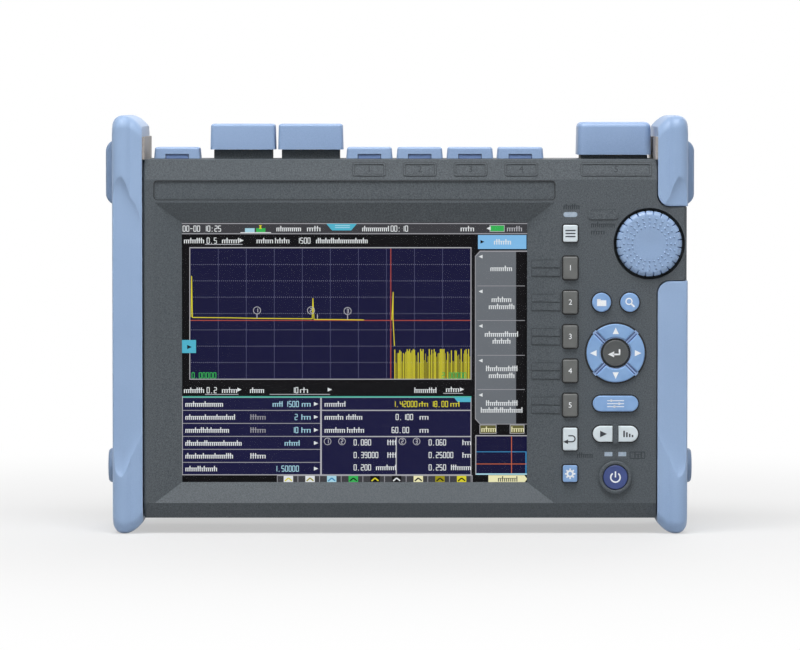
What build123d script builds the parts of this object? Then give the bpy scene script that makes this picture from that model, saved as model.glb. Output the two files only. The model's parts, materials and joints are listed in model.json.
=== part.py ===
from build123d import *
import math
import os

os.makedirs("parts", exist_ok=True)

# Handheld optical time domain reflectometer, standing on its two rubber guards.
# +Z is up, the screen faces -Y, and the origin is under the middle of the tester.
# All lengths are in millimetres.

# Overall sizes
guard_span = 286.8
guard_height = 208.7
body_depth = 80.0
guard_width = 15.0
case_bottom = 7.8
case_top = 186.8
overrun = 1.0

# Insets from the outside of the guards to the columns of keys, and from them to the screen
column_inset = 58.6
block_inset = 36.0
dial_inset = 19.3
column_gap = 7.8

# Clearances
seam_gap = 0.6
slide_gap = 0.25
pivot_gap = 0.05
seat_gap = 0.2

# Depths, measured from the front of the guards
guard_proud = 3.0
screen_sink = 5.0
wall = 2.5
split_depth = 22.0
rear_inset = 4.5

front_y = -body_depth / 2
back_y = body_depth / 2
face_y = front_y + guard_proud
screen_y = face_y + screen_sink
split_y = front_y + split_depth
case_back_y = back_y - rear_inset
guard_inner_x = guard_span / 2 - guard_width
case_half = guard_inner_x - seam_gap
column_x = guard_span / 2 - column_inset
block_x = guard_span / 2 - block_inset
dial_x = guard_span / 2 - dial_inset

# Front case: brow, chin, name strip and screen recess
brow_height = 10.0
brow_setback = 2.5
chin_height = 7.6
chin_setback = 3.5
brow_z = case_top - brow_height
chin_z = case_bottom + chin_height
brow_y = face_y + brow_setback
chin_y = face_y + chin_setback
strip_drop = 15.4
strip_height = 9.2
strip_ledge = 1.5
strip_z = case_top - strip_drop
screen_margin = 6.0
screen_foot = 0.1
bevel_low_x = screen_margin - guard_inner_x
bevel_high_x = column_x - column_gap
bevel_low_z = chin_z + screen_foot
bevel_high_z = strip_z - strip_height / 2 - strip_ledge
bevel_width = bevel_high_x - bevel_low_x
bevel_height = bevel_high_z - bevel_low_z
bevel_side = 13.55
bevel_end = 10.0
screen_x = (bevel_low_x + bevel_high_x) / 2
screen_z = (bevel_low_z + bevel_high_z) / 2
window_width = bevel_width - 2 * bevel_side
window_height = bevel_height - 2 * bevel_end
panel_corner = 2.5
window_lip = 0.6
glass_rebate = 3.0
glass_thick = 2.0
strip_corner = 1.8
strip_sink = 0.6
case_edge = 0.8

# Raised frames for the port labels on the brow
frame_width = 16.2
option_frame_width = 35.0
frame_height = 6.6
frame_line = 0.7
frame_corner = 1.0
frame_proud = 0.35

# Key column and its marks
column_width = 7.2
menu_z = 150.0
menu_height = 8.4
f_key_top_z = 132.8
f_key_pitch = 17.1
f_key_height = 11.2
f_key_count = 5
escape_z = 47.5
utility_z = 30.2
utility_height = 8.3
key_corner = 0.9
mark_length = 14.1
mark_right_gap = 1.6
mark_right_x = column_x - column_width / 2 - mark_right_gap
mark_left_x = mark_right_x - mark_length
mark_height = 3.7
mark_pitch = 4.2
mark_proud = 0.4
push_offset = 6.2
push_z = 159.3
push_width = 15.0
push_height = 4.5
push_proud = 0.45
laser_z = 159.4
laser_width = 6.9
laser_height = 2.5
lamp_pitch = 6.9
lamp_z = 39.9
lamp_width = 3.9
lamp_height = 2.1
lamp_thick = 2.0

# Key block at the right
round_key_radius = 4.7
round_key_pitch = 14.1
round_key_z = 115.7
pad_z = 90.4
pad_radius = 14.5
pad_rim = 0.9
pad_inner_radius = 7.9
pad_ring_radius = 7.5
pad_ring_bore = 6.9
pad_rib = 1.7
pad_foot = 3.0
enter_radius = 6.6
setup_z = 65.2
setup_width = 22.6
setup_height = 7.8
rocker_z = 50.1
rocker_width = 22.5
rocker_height = 7.9
divider_width = 2.4
divider_height = 9.8
divider_proud = 1.6
power_z = 28.4
power_radius = 6.1
collar_radius = 8.2
collar_proud = 1.8
collar_round = 0.7

# Key sections along the depth
key_proud = 1.7
key_round = 0.6
key_flange = 1.0
flange_thick = 1.0
key_travel = 1.0
stem_radius = 1.4
dome_gap = 0.3
key_wall_y = face_y + wall
keypad_setback = 10.0
keypad_thick = 1.6
keypad_y = face_y + keypad_setback
cavity_y = face_y + screen_sink + glass_thick + overrun

# Dial, its well and the cheek of the case beside it
dial_z = 144.9
dial_radius = 16.3
dial_proud = 2.8
dial_push = 0.8
well_radius = 17.8
well_wall = 0.8
well_depth = 6.0
well_floor = 2.0
knob_gap = 1.0
rim_clear = 0.6
rim_thick = dial_proud - dial_push - rim_clear
grip_count = 24
grip_radius = 0.8
dial_round_share = 0.85
skirt_radius = 14.8
skirt_wall = 1.4
dish_radius = 7.8
dish_depth = 0.5
cheek_inset = 0.6
cheek_x = guard_span / 2 - cheek_inset
cheek_height = 36.4
cheek_corner = 6.5
cheek_edge = 1.6
cheek_back = 2.0
housing_reach = 31.1
housing_margin = 1.2
housing_lip = 2.0
housing_lip_thick = 1.2
shaft_radius = 3.0
shaft_flat = 0.7
hub_radius = 5.5
sleeve_radius = 4.4
sleeve_length = 3.8
encoder_width = 13.0
encoder_depth = 5.0
shaft_hole_gap = 0.5
bush_gap = 0.05

# Guards
shoulder_drop = 4.9
shoulder_reach = 7.0
guard_corner = 5.2
guard_shoulder_round = 5.2
guard_roll = 4.8
strip_reach = 6.5
strip_drop_inner = 2.3
strip_drop_outer = 1.3
strip_slope = 2.2
scoop_depth = 2.7
scoop_drop = 30.2
scoop_top_z = guard_height - scoop_drop
scoop_bottom_z = 28.6
scoop_ramp = 13.4
lug_reach = 5.3
lug_drop = 12.3
lug_height = 33.2
lug_high_z = guard_height - lug_drop
lug_low_z = lug_high_z - lug_height
lug_corner = 6.0
lug_depth = 34.0
lug_back_inset = 4.0
lug_back_y = back_y - lug_back_inset
lug_front_y = lug_back_y - lug_depth
strap_slot = 4.5
strap_width = 24.0
strap_wall = 1.6
boss_radius = 8.7
boss_z = 30.3
boss_back_inset = 21.0
boss_y = back_y - boss_back_inset
boss_reach = 5.0
boss_edge = 1.8
boss_sink = 3.0
boss_bore = 3.4
grip_rib_count = 9
grip_rib_pitch = 11.5
grip_rib_low_z = 55.2
grip_rib_width = 3.2
grip_rib_proud = 0.55
grip_rib_length = 46.0
guard_notch_gap = 0.4
guard_notch_radius = 6.2
liner_thick = 1.2
liner_rise = 11.2
liner_top_z = case_top + liner_rise
liner_inset = 3.0

# Rear case
rear_corner = 3.0
bay_wall = 2.0
bay_pad = 2.5
bay_recess = 2.0
stand_margin = 7.0
stand_low_z = 24.0
stand_high_z = 110.0
stand_thick = 3.4
stand_gap = 0.5
stand_recess = 5.0
stand_corner = 6.0
stand_lip = 1.0
stand_lip_height = 4.0
stand_groove_margin = 16.0
stand_groove_height = 40.0
stand_groove = 0.8
stand_swing_gap = 0.3
stand_barrel = 2.1
stand_pin_radius = 1.5
stand_pin_length = 14.0
stand_ear = 5.0
battery_inset = 42.4
battery_x = guard_inner_x - battery_inset
battery_z = 62.0
battery_width = 62.0
battery_height = 84.0
battery_thick = 22.0
battery_play = 0.3
door_width = 66.0
door_height = 99.0
door_corner = 3.0
door_screw_inset = 4.2
stand_width = 2 * (battery_x - door_width / 2 - stand_margin)
stand_groove_width = stand_width - 2 * stand_groove_margin
vent_z = 62.0
vent_count = 8
vent_pitch = 8.0
vent_width = 52.0
vent_height = 2.6
module_gap = 4.4
module_bottom_z = 116.0
module_top_drop = 5.2
module_plate_lip = 1.0
otdr_x = -62.0
otdr_width = 70.0
otdr_plate_width = 86.0
option_inset = 30.9
option_x = guard_inner_x - option_inset
option_width = 30.0
option_plate_width = 42.0
knob_screw_radius = 4.0
knob_screw_head = 2.2
knob_screw_length = 7.0
knob_screw_boss = 3.6

# Boards and frame
board_setback = 4.0
board_y = split_y + board_setback
board_thick = 1.6
module_front_y = board_y + board_thick + module_gap
board_margin = 8.0
panel_gap = 0.2
panel_thick = 7.6
panel_lip = 4.0
frame_thick = 1.2
frame_margin = 7.0
frame_window_share = 0.5
standoff_radius = 3.0
gasket_thick = 1.0
gasket_width = 1.1
screw_head_radius = 2.5
screw_head_height = 1.8
screw_shank_radius = 1.2
screw_socket_radius = 1.2
screw_socket_depth = 1.0
screw_play = 0.1
case_screw_inset = 6.0
case_boss_radius = 3.2
front_boss_length = 8.0

# Ports under the small covers
# The power inlet and the option port keep to the ends of the top; the others share the way between
dc_inset = 16.6
option_port_inset = 20.8
port_1_share = 0.15
port_2_share = 0.305
usb_share = 0.4395
port_pitch_share = 0.1151
usb_count = 3
cover_gap = 1.95
port_cover_gap = 1.4
dc_x = dc_inset - guard_inner_x
option_port_x = guard_inner_x - option_port_inset
port_row = option_port_x - dc_x
port_1_x = dc_x + port_1_share * port_row
port_2_x = dc_x + port_2_share * port_row
port_pitch = port_pitch_share * port_row
usb_xs = [dc_x + usb_share * port_row + i * port_pitch for i in range(usb_count)]
lan_x = usb_xs[-1] + port_pitch
small_cover_width = port_pitch - cover_gap
small_cover_height = 5.9
small_cover_setback = 2.5
small_cover_front_y = split_y + small_cover_setback
small_cover_length = 19.0
small_cover_wall = 1.5
small_cover_round = 1.6
small_cover_taper = 5.0
notch_width = 11.7
notch_height = 2.3
notch_depth = 0.8
usb_width = 13.2
usb_thick = 6.8
usb_height = 18.0
usb_wall = 0.5
usb_mouth_depth = 9.0
usb_tongue_thick = 1.9
usb_tongue_inset = 1.0
lan_width = 16.2
lan_thick = 13.4
lan_height = 21.0
lan_mouth_width = 11.8
lan_mouth_thick = 8.0
lan_mouth_depth = 12.5
lan_latch_width = 6.0
lan_latch_depth = 1.6
dc_width = 10.0
dc_thick = 10.0
dc_height = 18.0
dc_radius = 3.2
dc_pin_radius = 1.0
dc_depth = 10.0
jack_sink = 0.6

# Ports under the large covers
large_cover_width = port_2_x - port_1_x - port_cover_gap
large_cover_height = 13.1
large_cover_setback = 4.0
large_cover_front_y = split_y + large_cover_setback
large_cover_length = 29.0
large_cover_wall = 1.8
large_cover_round = 1.8
large_cover_taper = 1.5
base_height = 4.5
base_width = large_cover_width - 2 * large_cover_wall
base_inset = 2.5
option_cover_width = 37.2
option_cover_height = 16.6
option_base_height = 1.9
option_base_width = 33.5
option_cover_round = 3.6
adapter_setback = 13.0
adapter_y = large_cover_front_y + adapter_setback
adapter_flange = 16.0
adapter_flange_depth = 12.0
adapter_flange_thick = 1.6
adapter_radius = 4.6
adapter_height = 8.4
adapter_tail_radius = 3.6
ferrule_radius = 1.25
ferrule_length = 9.0
adapter_key_width = 2.2
adapter_key_depth = 1.2
adapter_cup_radius = 3.6
adapter_cup_depth = 4.0

# Cover hinges
hinge_setback = 2.4
hinge_rise = 2.3
knuckle_radius = 1.9
knuckle_share = 0.5
hinge_pin_radius = 0.8
ear_width = 2.6
cover_seat = 0.2


def front_plane(y):
    """A plane facing the viewer at depth y: its own x is +X and its own y is +Z."""
    return Plane(origin=(0, y, 0), x_dir=(1, 0, 0), z_dir=(0, -1, 0))


def save(builder, name):
    """Labels a finished piece and writes its file."""
    builder.part.label = name
    export_step(builder.part, "parts/" + name + ".step")


# Keys: name, outline, centre x, centre z, width, height
f_key_zs = [f_key_top_z - i * f_key_pitch for i in range(f_key_count)]
keys = [("key_menu", "box", column_x, menu_z, column_width, menu_height)]
for number, z in enumerate(f_key_zs):
    keys.append(("key_f" + str(number + 1), "box", column_x, z, column_width, f_key_height))
keys += [
    ("key_escape", "box", column_x, escape_z, column_width, f_key_height),
    ("key_utility", "box", column_x, utility_z, column_width, utility_height),
    ("key_file", "round", block_x - round_key_pitch / 2, round_key_z, 2 * round_key_radius, 0),
    ("key_scale", "round", block_x + round_key_pitch / 2, round_key_z, 2 * round_key_radius, 0),
    ("key_enter", "round", block_x, pad_z, 2 * enter_radius, 0),
    ("key_setup", "pill", block_x, setup_z, setup_width, setup_height),
    ("key_realtime", "left half", block_x, rocker_z, rocker_width, rocker_height),
    ("key_average", "right half", block_x, rocker_z, rocker_width, rocker_height),
    ("key_power", "round", block_x, power_z, 2 * power_radius, 0),
]


def key_outline(shape, width, height, grow=0):
    """The outline of a key about its own centre, grown by grow on every side."""
    with BuildSketch(Plane.XY) as outline:
        if shape == "box":
            RectangleRounded(width + 2 * grow, height + 2 * grow, key_corner + grow)
        elif shape == "round":
            Circle(width / 2 + grow)
        else:
            SlotOverall(width + 2 * grow, height + 2 * grow)
        if shape.endswith("half"):
            side = -1 if shape.startswith("left") else 1
            reach = width / 2 + grow
            inner = divider_width / 2 + slide_gap - grow
            with Locations((side * (inner + reach) / 2, 0)):
                Rectangle(reach - inner, height + 2 * grow, mode=Mode.INTERSECT)
    return outline.sketch


def bevel_face_y(x):
    """Depth of the screen recess's right slope at a place x across it."""
    low_x = screen_x + window_width / 2
    high_x = screen_x + bevel_width / 2
    return screen_y + (face_y - screen_y) * (x - low_x) / (high_x - low_x)


# Front case
screw_x = guard_inner_x - case_screw_inset
screw_zs = (case_bottom + case_screw_inset, case_top - case_screw_inset)
screw_spots = [(x, z) for x in (-screw_x, screw_x) for z in screw_zs]
key_area_left_x = screen_x + bevel_width / 2 + wall
inner_half = case_half - wall
brow_mid = (brow_y + face_y) / 2, (brow_z + case_top) / 2
brow_plane = Plane(
    origin=(0, brow_mid[0], brow_mid[1]), x_dir=(1, 0, 0), z_dir=(0, -brow_height, brow_setback)
)
cavity_low_z = case_bottom + wall
cavity_high_z = case_top - wall
housing_low_x = dial_x - housing_reach
housing_width = cheek_x + overrun - housing_low_x
housing_mid_x = housing_low_x + housing_width / 2
housing_height = cheek_height + 2 * housing_margin


def housing_region():
    """Front outline of the dial housing: a rectangle that runs out past the cheek."""
    with BuildSketch(Plane.XY) as region:
        with Locations((housing_mid_x, dial_z)):
            Rectangle(housing_width, housing_height)
    return region.sketch


with BuildPart() as front_case:
    with BuildSketch(Plane.YZ.offset(-case_half)):
        with BuildLine():
            Polyline(
                (split_y, case_bottom),
                (chin_y, case_bottom),
                (face_y, chin_z),
                (face_y, brow_z),
                (brow_y, case_top),
                (split_y, case_top),
                close=True,
            )
        make_face()
    extrude(amount=2 * case_half)
    # Cheek that reaches out beside the dial
    with BuildSketch(front_plane(split_y)):
        with Locations(((case_half - wall + cheek_x) / 2, dial_z)):
            Rectangle(cheek_x - case_half + wall, cheek_height)
    extrude(amount=split_y - face_y)
    cheek_roots = front_case.edges().filter_by(Axis.Y).filter_by(
        lambda e: abs(e.center().X - case_half) < slide_gap
        and abs(abs(e.center().Z - dial_z) - cheek_height / 2) < slide_gap
    )
    fillet(cheek_roots, cheek_corner)
    cheek_front = front_case.edges().filter_by(Axis.Z).filter_by(
        lambda e: e.center().X > cheek_x - slide_gap and e.center().Y < face_y + slide_gap
    )
    chamfer(cheek_front, cheek_edge)
    left_front = front_case.edges().filter_by(
        lambda e: e.center().X < slide_gap - case_half and e.center().Y < split_y - slide_gap
    )
    chamfer(left_front, case_edge)
    # Hollow behind the screen, deeper behind the keys
    with BuildSketch(front_plane(split_y)):
        with Locations((0, (cavity_low_z + cavity_high_z) / 2)):
            Rectangle(2 * inner_half, cavity_high_z - cavity_low_z)
    extrude(amount=split_y - cavity_y, mode=Mode.SUBTRACT)
    with BuildSketch(front_plane(split_y)):
        with Locations(((key_area_left_x + inner_half) / 2, (chin_z + brow_z) / 2)):
            Rectangle(inner_half - key_area_left_x, brow_z - chin_z - 2 * wall)
    extrude(amount=split_y - key_wall_y, mode=Mode.SUBTRACT)
    # Dial well, its floor, the hole for the shaft and the pocket for the encoder
    with BuildSketch(front_plane(face_y + well_depth + well_floor)):
        with Locations((dial_x, dial_z)):
            Circle(well_radius + well_wall)
    extrude(amount=well_depth + well_floor)
    with BuildSketch(front_plane(face_y + well_depth)):
        with Locations((dial_x, dial_z)):
            Circle(well_radius)
    extrude(amount=well_depth + overrun, mode=Mode.SUBTRACT)
    with BuildSketch(front_plane(split_y)):
        with Locations((dial_x, dial_z)):
            Circle(hub_radius + shaft_hole_gap)
    extrude(amount=split_y - face_y, mode=Mode.SUBTRACT)
    with BuildSketch(front_plane(split_y - cheek_back)):
        with Locations(((inner_half - wall + cheek_x - wall) / 2, dial_z)):
            Rectangle(cheek_x - inner_half, cheek_height - 2 * wall)
    extrude(
        amount=split_y - cheek_back - (face_y + well_depth + well_floor), mode=Mode.SUBTRACT
    )
    # Sloping screen recess, window and the rebate for the glass
    with BuildSketch(front_plane(screen_y)):
        with Locations((screen_x, screen_z)):
            Rectangle(window_width, window_height)
    with BuildSketch(front_plane(face_y)):
        with Locations((screen_x, screen_z)):
            Rectangle(bevel_width, bevel_height)
    loft(mode=Mode.SUBTRACT)
    with BuildSketch(front_plane(split_y)):
        with Locations((screen_x, screen_z)):
            Rectangle(window_width, window_height)
    extrude(amount=split_y - screen_y + window_lip, mode=Mode.SUBTRACT)
    with BuildSketch(front_plane(split_y)):
        with Locations((screen_x, screen_z)):
            Rectangle(window_width + 2 * glass_rebate, window_height + 2 * glass_rebate)
    extrude(amount=split_y - screen_y - window_lip, mode=Mode.SUBTRACT)
    # Bare name strip
    with BuildSketch(front_plane(face_y + strip_sink)):
        with Locations((screen_x, strip_z)):
            RectangleRounded(bevel_width, strip_height, strip_corner)
    extrude(amount=strip_sink + overrun, mode=Mode.SUBTRACT)
    # Raised frames on the brow
    with BuildSketch(brow_plane):
        for x in usb_xs + [lan_x]:
            with Locations((x, 0)):
                RectangleRounded(frame_width, frame_height, frame_corner)
        with Locations((option_port_x, 0)):
            RectangleRounded(option_frame_width, frame_height, frame_corner)
        inner_height = frame_height - 2 * frame_line
        inner_corner = frame_corner - frame_line / 2
        for x in usb_xs + [lan_x]:
            with Locations((x, 0)):
                RectangleRounded(
                    frame_width - 2 * frame_line, inner_height, inner_corner, mode=Mode.SUBTRACT
                )
        with Locations((option_port_x, 0)):
            RectangleRounded(
                option_frame_width - 2 * frame_line, inner_height, inner_corner, mode=Mode.SUBTRACT
            )
    extrude(amount=frame_proud)
    # Raised push mark, rocker divider and power collar
    with BuildSketch(front_plane(face_y)):
        with Locations((block_x - push_offset, push_z)):
            RectangleRounded(push_width, push_height, push_height / 3)
    extrude(amount=push_proud)
    # Paired marks that lead from the screen to the function keys
    for z in f_key_zs:
        for side in (-1, 1):
            low_z = z + side * mark_pitch / 2 - mark_height / 2
            crease_x = screen_x + bevel_width / 2
            left_y = bevel_face_y(mark_left_x)
            with BuildSketch(Plane.XY.offset(low_z)):
                with BuildLine():
                    Polyline(
                        (mark_left_x, left_y + mark_proud),
                        (mark_left_x, left_y - mark_proud),
                        (crease_x, face_y - mark_proud),
                        (mark_right_x, face_y - mark_proud),
                        (mark_right_x, face_y + mark_proud),
                        (crease_x, face_y + mark_proud),
                        close=True,
                    )
                make_face()
            extrude(amount=mark_height)
    # Openings for the keys and windows
    for name, shape, x, z, width, height in keys:
        if name == "key_enter":
            continue
        with BuildSketch(front_plane(key_wall_y)):
            with Locations((x, z)):
                add(key_outline(shape, width, height, slide_gap))
        extrude(amount=wall + overrun, mode=Mode.SUBTRACT)
    with BuildSketch(front_plane(key_wall_y)):
        with Locations((block_x, pad_z)):
            Circle(pad_radius + pad_rim)
    extrude(amount=wall + overrun, mode=Mode.SUBTRACT)
    with BuildSketch(front_plane(key_wall_y)):
        with Locations((column_x, laser_z)):
            SlotOverall(laser_width, laser_height)
        with Locations((block_x - lamp_pitch / 2, lamp_z), (block_x + lamp_pitch / 2, lamp_z)):
            Rectangle(lamp_width, lamp_height)
    extrude(amount=wall + overrun, mode=Mode.SUBTRACT)
    with BuildSketch(front_plane(face_y + collar_round)):
        with Locations((block_x, rocker_z)):
            SlotOverall(divider_height, divider_width, rotation=90)
    extrude(amount=divider_proud + collar_round)
    with BuildSketch(front_plane(face_y + collar_round)):
        with Locations((block_x, power_z)):
            Circle(collar_radius)
            Circle(power_radius + slide_gap, mode=Mode.SUBTRACT)
    extrude(amount=collar_proud + collar_round)
    collar_edges = front_case.faces().filter_by(Plane.XZ).sort_by(Axis.Y)[0].edges()
    fillet(collar_edges, collar_round)
    # Posts for the case screws
    with BuildSketch(front_plane(split_y)):
        with Locations(screw_spots):
            Circle(case_boss_radius)
    extrude(amount=front_boss_length)
    with BuildSketch(front_plane(split_y)):
        with Locations(screw_spots):
            Circle(screw_shank_radius + screw_play)
    extrude(amount=front_boss_length, mode=Mode.SUBTRACT)
    # Notch for the dial housing
    whole_case = front_case.part
    with BuildSketch(front_plane(split_y)):
        add(housing_region())
    extrude(amount=split_y - front_y, mode=Mode.SUBTRACT)
save(front_case, "front_case")

# Dial housing: the stretch of the case round the dial, with its well and cheek, and a lip behind
with BuildPart() as dial_housing:
    add(whole_case)
    with BuildSketch(front_plane(split_y)):
        add(housing_region())
    extrude(amount=split_y - front_y, mode=Mode.INTERSECT)
    lip_low_x = housing_low_x - housing_lip
    lip_open_x = housing_low_x + housing_lip
    with BuildSketch(front_plane(key_wall_y + housing_lip_thick)):
        with Locations(((lip_low_x + inner_half) / 2, dial_z)):
            Rectangle(inner_half - lip_low_x, housing_height + 2 * housing_lip)
        with Locations(((lip_open_x + inner_half) / 2, dial_z)):
            Rectangle(
                inner_half - lip_open_x, housing_height - 2 * housing_lip, mode=Mode.SUBTRACT
            )
        with Locations((dial_x, dial_z)):
            Circle(well_radius, mode=Mode.SUBTRACT)
    extrude(amount=housing_lip_thick)
save(dial_housing, "dial_housing")

# Keys and their flanges, stems and travel room
stem_end_y = keypad_y - key_travel - dome_gap
for name, shape, x, z, width, height in keys:
    with BuildPart() as key:
        cap_front_y = face_y - key_proud
        with BuildSketch(front_plane(key_wall_y)):
            with Locations((x, z)):
                add(key_outline(shape, width, height))
        extrude(amount=key_wall_y - cap_front_y)
        fillet(key.faces().sort_by(Axis.Y)[0].edges(), key_round)
        grow = 0 if name == "key_enter" else key_flange
        with BuildSketch(front_plane(key_wall_y + seat_gap + flange_thick)):
            with Locations((x, z)):
                add(key_outline(shape, width, height, grow))
        extrude(amount=flange_thick + seat_gap / 2)
        with BuildSketch(front_plane(key_wall_y + seat_gap / 2)):
            with Locations((x, z)):
                add(key_outline(shape, width, height))
        extrude(amount=seat_gap)
        stem_x = x
        if shape.endswith("half"):
            stem_x = x + (-1 if shape.startswith("left") else 1) * rocker_width / 4
        with BuildSketch(front_plane(stem_end_y)):
            with Locations((stem_x, z)):
                Circle(stem_radius)
        extrude(amount=stem_end_y - key_wall_y - seat_gap)
    save(key, name)

# Arrow keys: four petals round the centre key
petal_stem_radius = (pad_radius + pad_inner_radius) / 2
petals = {"key_up": (0, 1), "key_down": (0, -1), "key_left": (-1, 0), "key_right": (1, 0)}


def petal_outline(direction, outer_radius):
    """One of the four ring sectors between the diagonal ribs."""
    with BuildSketch(Plane.XY) as ring:
        Circle(outer_radius)
        Circle(pad_inner_radius, mode=Mode.SUBTRACT)
        for turn in (45, -45):
            Rectangle(
                2 * outer_radius + overrun, pad_rib + 2 * slide_gap, rotation=turn,
                mode=Mode.SUBTRACT,
            )
    towards = Vector(direction[0], direction[1], 0)
    return ring.faces().sort_by(lambda f: -f.center().dot(towards))[0]


for name, direction in petals.items():
    with BuildPart() as petal:
        with BuildSketch(front_plane(key_wall_y)):
            with Locations((block_x, pad_z)):
                add(petal_outline(direction, pad_radius))
        extrude(amount=key_wall_y - face_y + key_proud)
        fillet(petal.faces().sort_by(Axis.Y)[0].edges(), key_round)
        with BuildSketch(front_plane(key_wall_y + seat_gap + flange_thick)):
            with Locations((block_x, pad_z)):
                add(petal_outline(direction, pad_radius + pad_rim + key_flange))
        extrude(amount=flange_thick)
        with BuildSketch(front_plane(key_wall_y + seat_gap)):
            with Locations((block_x, pad_z)):
                add(petal_outline(direction, pad_radius))
        extrude(amount=seat_gap)
        with BuildSketch(front_plane(stem_end_y)):
            with Locations(
                (
                    block_x + direction[0] * petal_stem_radius,
                    pad_z + direction[1] * petal_stem_radius,
                )
            ):
                Circle(stem_radius)
        extrude(amount=stem_end_y - key_wall_y - seat_gap)
    save(petal, name)

# Frame of four ribs between the arrow keys, hooked under the case wall
with BuildPart() as dpad_frame:
    rib_front_y = face_y - key_proud / 2
    with BuildSketch(front_plane(key_wall_y)):
        with Locations((block_x, pad_z)):
            Circle(pad_radius + pad_rim - slide_gap)
    extrude(amount=key_wall_y - rib_front_y)
    with BuildSketch(front_plane(key_wall_y + flange_thick)):
        with Locations((block_x, pad_z)):
            Circle(pad_radius + pad_rim + pad_foot)
    extrude(amount=flange_thick)
    with BuildSketch(front_plane(key_wall_y + flange_thick)):
        for direction in petals.values():
            with Locations((block_x, pad_z)):
                add(petal_outline(direction, pad_radius + pad_rim + pad_foot + overrun))
        with Locations((block_x, pad_z)):
            Circle(pad_ring_bore)
    extrude(amount=key_wall_y + flange_thick - front_y, mode=Mode.SUBTRACT)
    with BuildSketch(front_plane(key_wall_y + flange_thick)):
        with Locations((block_x, pad_z)):
            Circle(pad_ring_radius)
            Circle(pad_ring_bore, mode=Mode.SUBTRACT)
    extrude(amount=key_wall_y + flange_thick - rib_front_y)
save(dpad_frame, "dpad_frame")

# Indicator windows
with BuildPart() as led_windows:
    with BuildSketch(front_plane(face_y + lamp_thick)):
        with Locations((column_x, laser_z)):
            SlotOverall(laser_width, laser_height)
        with Locations((block_x - lamp_pitch / 2, lamp_z), (block_x + lamp_pitch / 2, lamp_z)):
            Rectangle(lamp_width, lamp_height)
    extrude(amount=lamp_thick)
save(led_windows, "led_windows")

# Dial knob with grip notches, on a flatted shaft
dial_front_y = face_y - dial_proud
rim_back_y = dial_front_y + rim_thick
knob_back_y = face_y + well_depth - dial_push - knob_gap
with BuildPart() as dial_knob:
    with BuildSketch(front_plane(rim_back_y)):
        with Locations((dial_x, dial_z)):
            Circle(dial_radius)
    extrude(amount=rim_thick)
    fillet(dial_knob.faces().sort_by(Axis.Y)[0].edges(), rim_thick * dial_round_share)
    with BuildSketch(front_plane(rim_back_y)):
        with Locations((dial_x, dial_z)):
            with PolarLocations(dial_radius, grip_count):
                Circle(grip_radius)
    extrude(amount=rim_thick, mode=Mode.SUBTRACT)
    with BuildSketch(front_plane(knob_back_y)):
        with Locations((dial_x, dial_z)):
            Circle(skirt_radius)
    extrude(amount=knob_back_y - rim_back_y)
    with BuildSketch(front_plane(dial_front_y + dish_depth)):
        with Locations((dial_x, dial_z)):
            Circle(dish_radius)
    extrude(amount=dish_depth, mode=Mode.SUBTRACT)
    with BuildSketch(front_plane(knob_back_y)):
        with Locations((dial_x, dial_z)):
            Circle(skirt_radius - skirt_wall)
            Circle(hub_radius, mode=Mode.SUBTRACT)
    extrude(amount=knob_back_y - dial_front_y - wall, mode=Mode.SUBTRACT)
    with BuildSketch(front_plane(knob_back_y)):
        with Locations((dial_x, dial_z)):
            Circle(shaft_radius)
    extrude(amount=knob_back_y - dial_front_y - wall, mode=Mode.SUBTRACT)
save(dial_knob, "dial_knob")

encoder_y = keypad_y + keypad_thick
shaft_end_y = encoder_y + sleeve_length - dial_push
with BuildPart() as dial_shaft:
    with BuildSketch(front_plane(shaft_end_y)):
        with Locations((dial_x, dial_z)):
            Circle(shaft_radius)
    extrude(amount=shaft_end_y - dial_front_y - wall)
    with BuildSketch(front_plane(shaft_end_y)):
        with Locations((dial_x, dial_z + shaft_radius)):
            Rectangle(2 * shaft_radius, 2 * shaft_flat)
    extrude(amount=shaft_end_y - encoder_y + dial_push + seat_gap, mode=Mode.SUBTRACT)
save(dial_shaft, "dial_shaft")

with BuildPart() as dial_sleeve:
    with BuildSketch(front_plane(encoder_y + sleeve_length)):
        with Locations((dial_x, dial_z)):
            Circle(sleeve_radius)
            Circle(shaft_radius + bush_gap, mode=Mode.SUBTRACT)
        with Locations((dial_x, dial_z + shaft_radius)):
            Rectangle(
                2 * shaft_radius, 2 * (shaft_flat - bush_gap)
            )
        with Locations((dial_x, dial_z)):
            Circle(sleeve_radius, mode=Mode.INTERSECT)
    extrude(amount=sleeve_length - seat_gap)
save(dial_sleeve, "dial_sleeve")

with BuildPart() as dial_encoder:
    with BuildSketch(front_plane(encoder_y + encoder_depth)):
        with Locations((dial_x, dial_z)):
            Rectangle(encoder_width, encoder_width)
    extrude(amount=encoder_depth)
    with BuildSketch(front_plane(encoder_y + encoder_depth - seat_gap)):
        with Locations((dial_x, dial_z)):
            Circle(sleeve_radius + bush_gap)
    extrude(amount=encoder_depth, mode=Mode.SUBTRACT)
save(dial_encoder, "dial_encoder")

# Display window and panel
with BuildPart() as display_glass:
    with BuildSketch(front_plane(screen_y + window_lip + glass_thick)):
        with Locations((screen_x, screen_z)):
            Rectangle(
                window_width + 2 * (glass_rebate - slide_gap),
                window_height + 2 * (glass_rebate - slide_gap),
            )
    extrude(amount=glass_thick)
save(display_glass, "display_glass")

panel_y = cavity_y + panel_gap
with BuildPart() as display_panel:
    with BuildSketch(front_plane(panel_y + panel_thick)):
        with Locations((screen_x, screen_z)):
            RectangleRounded(
                window_width + 2 * panel_lip, window_height + 2 * panel_lip, panel_corner
            )
    extrude(amount=panel_thick)
save(display_panel, "display_panel")

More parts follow.
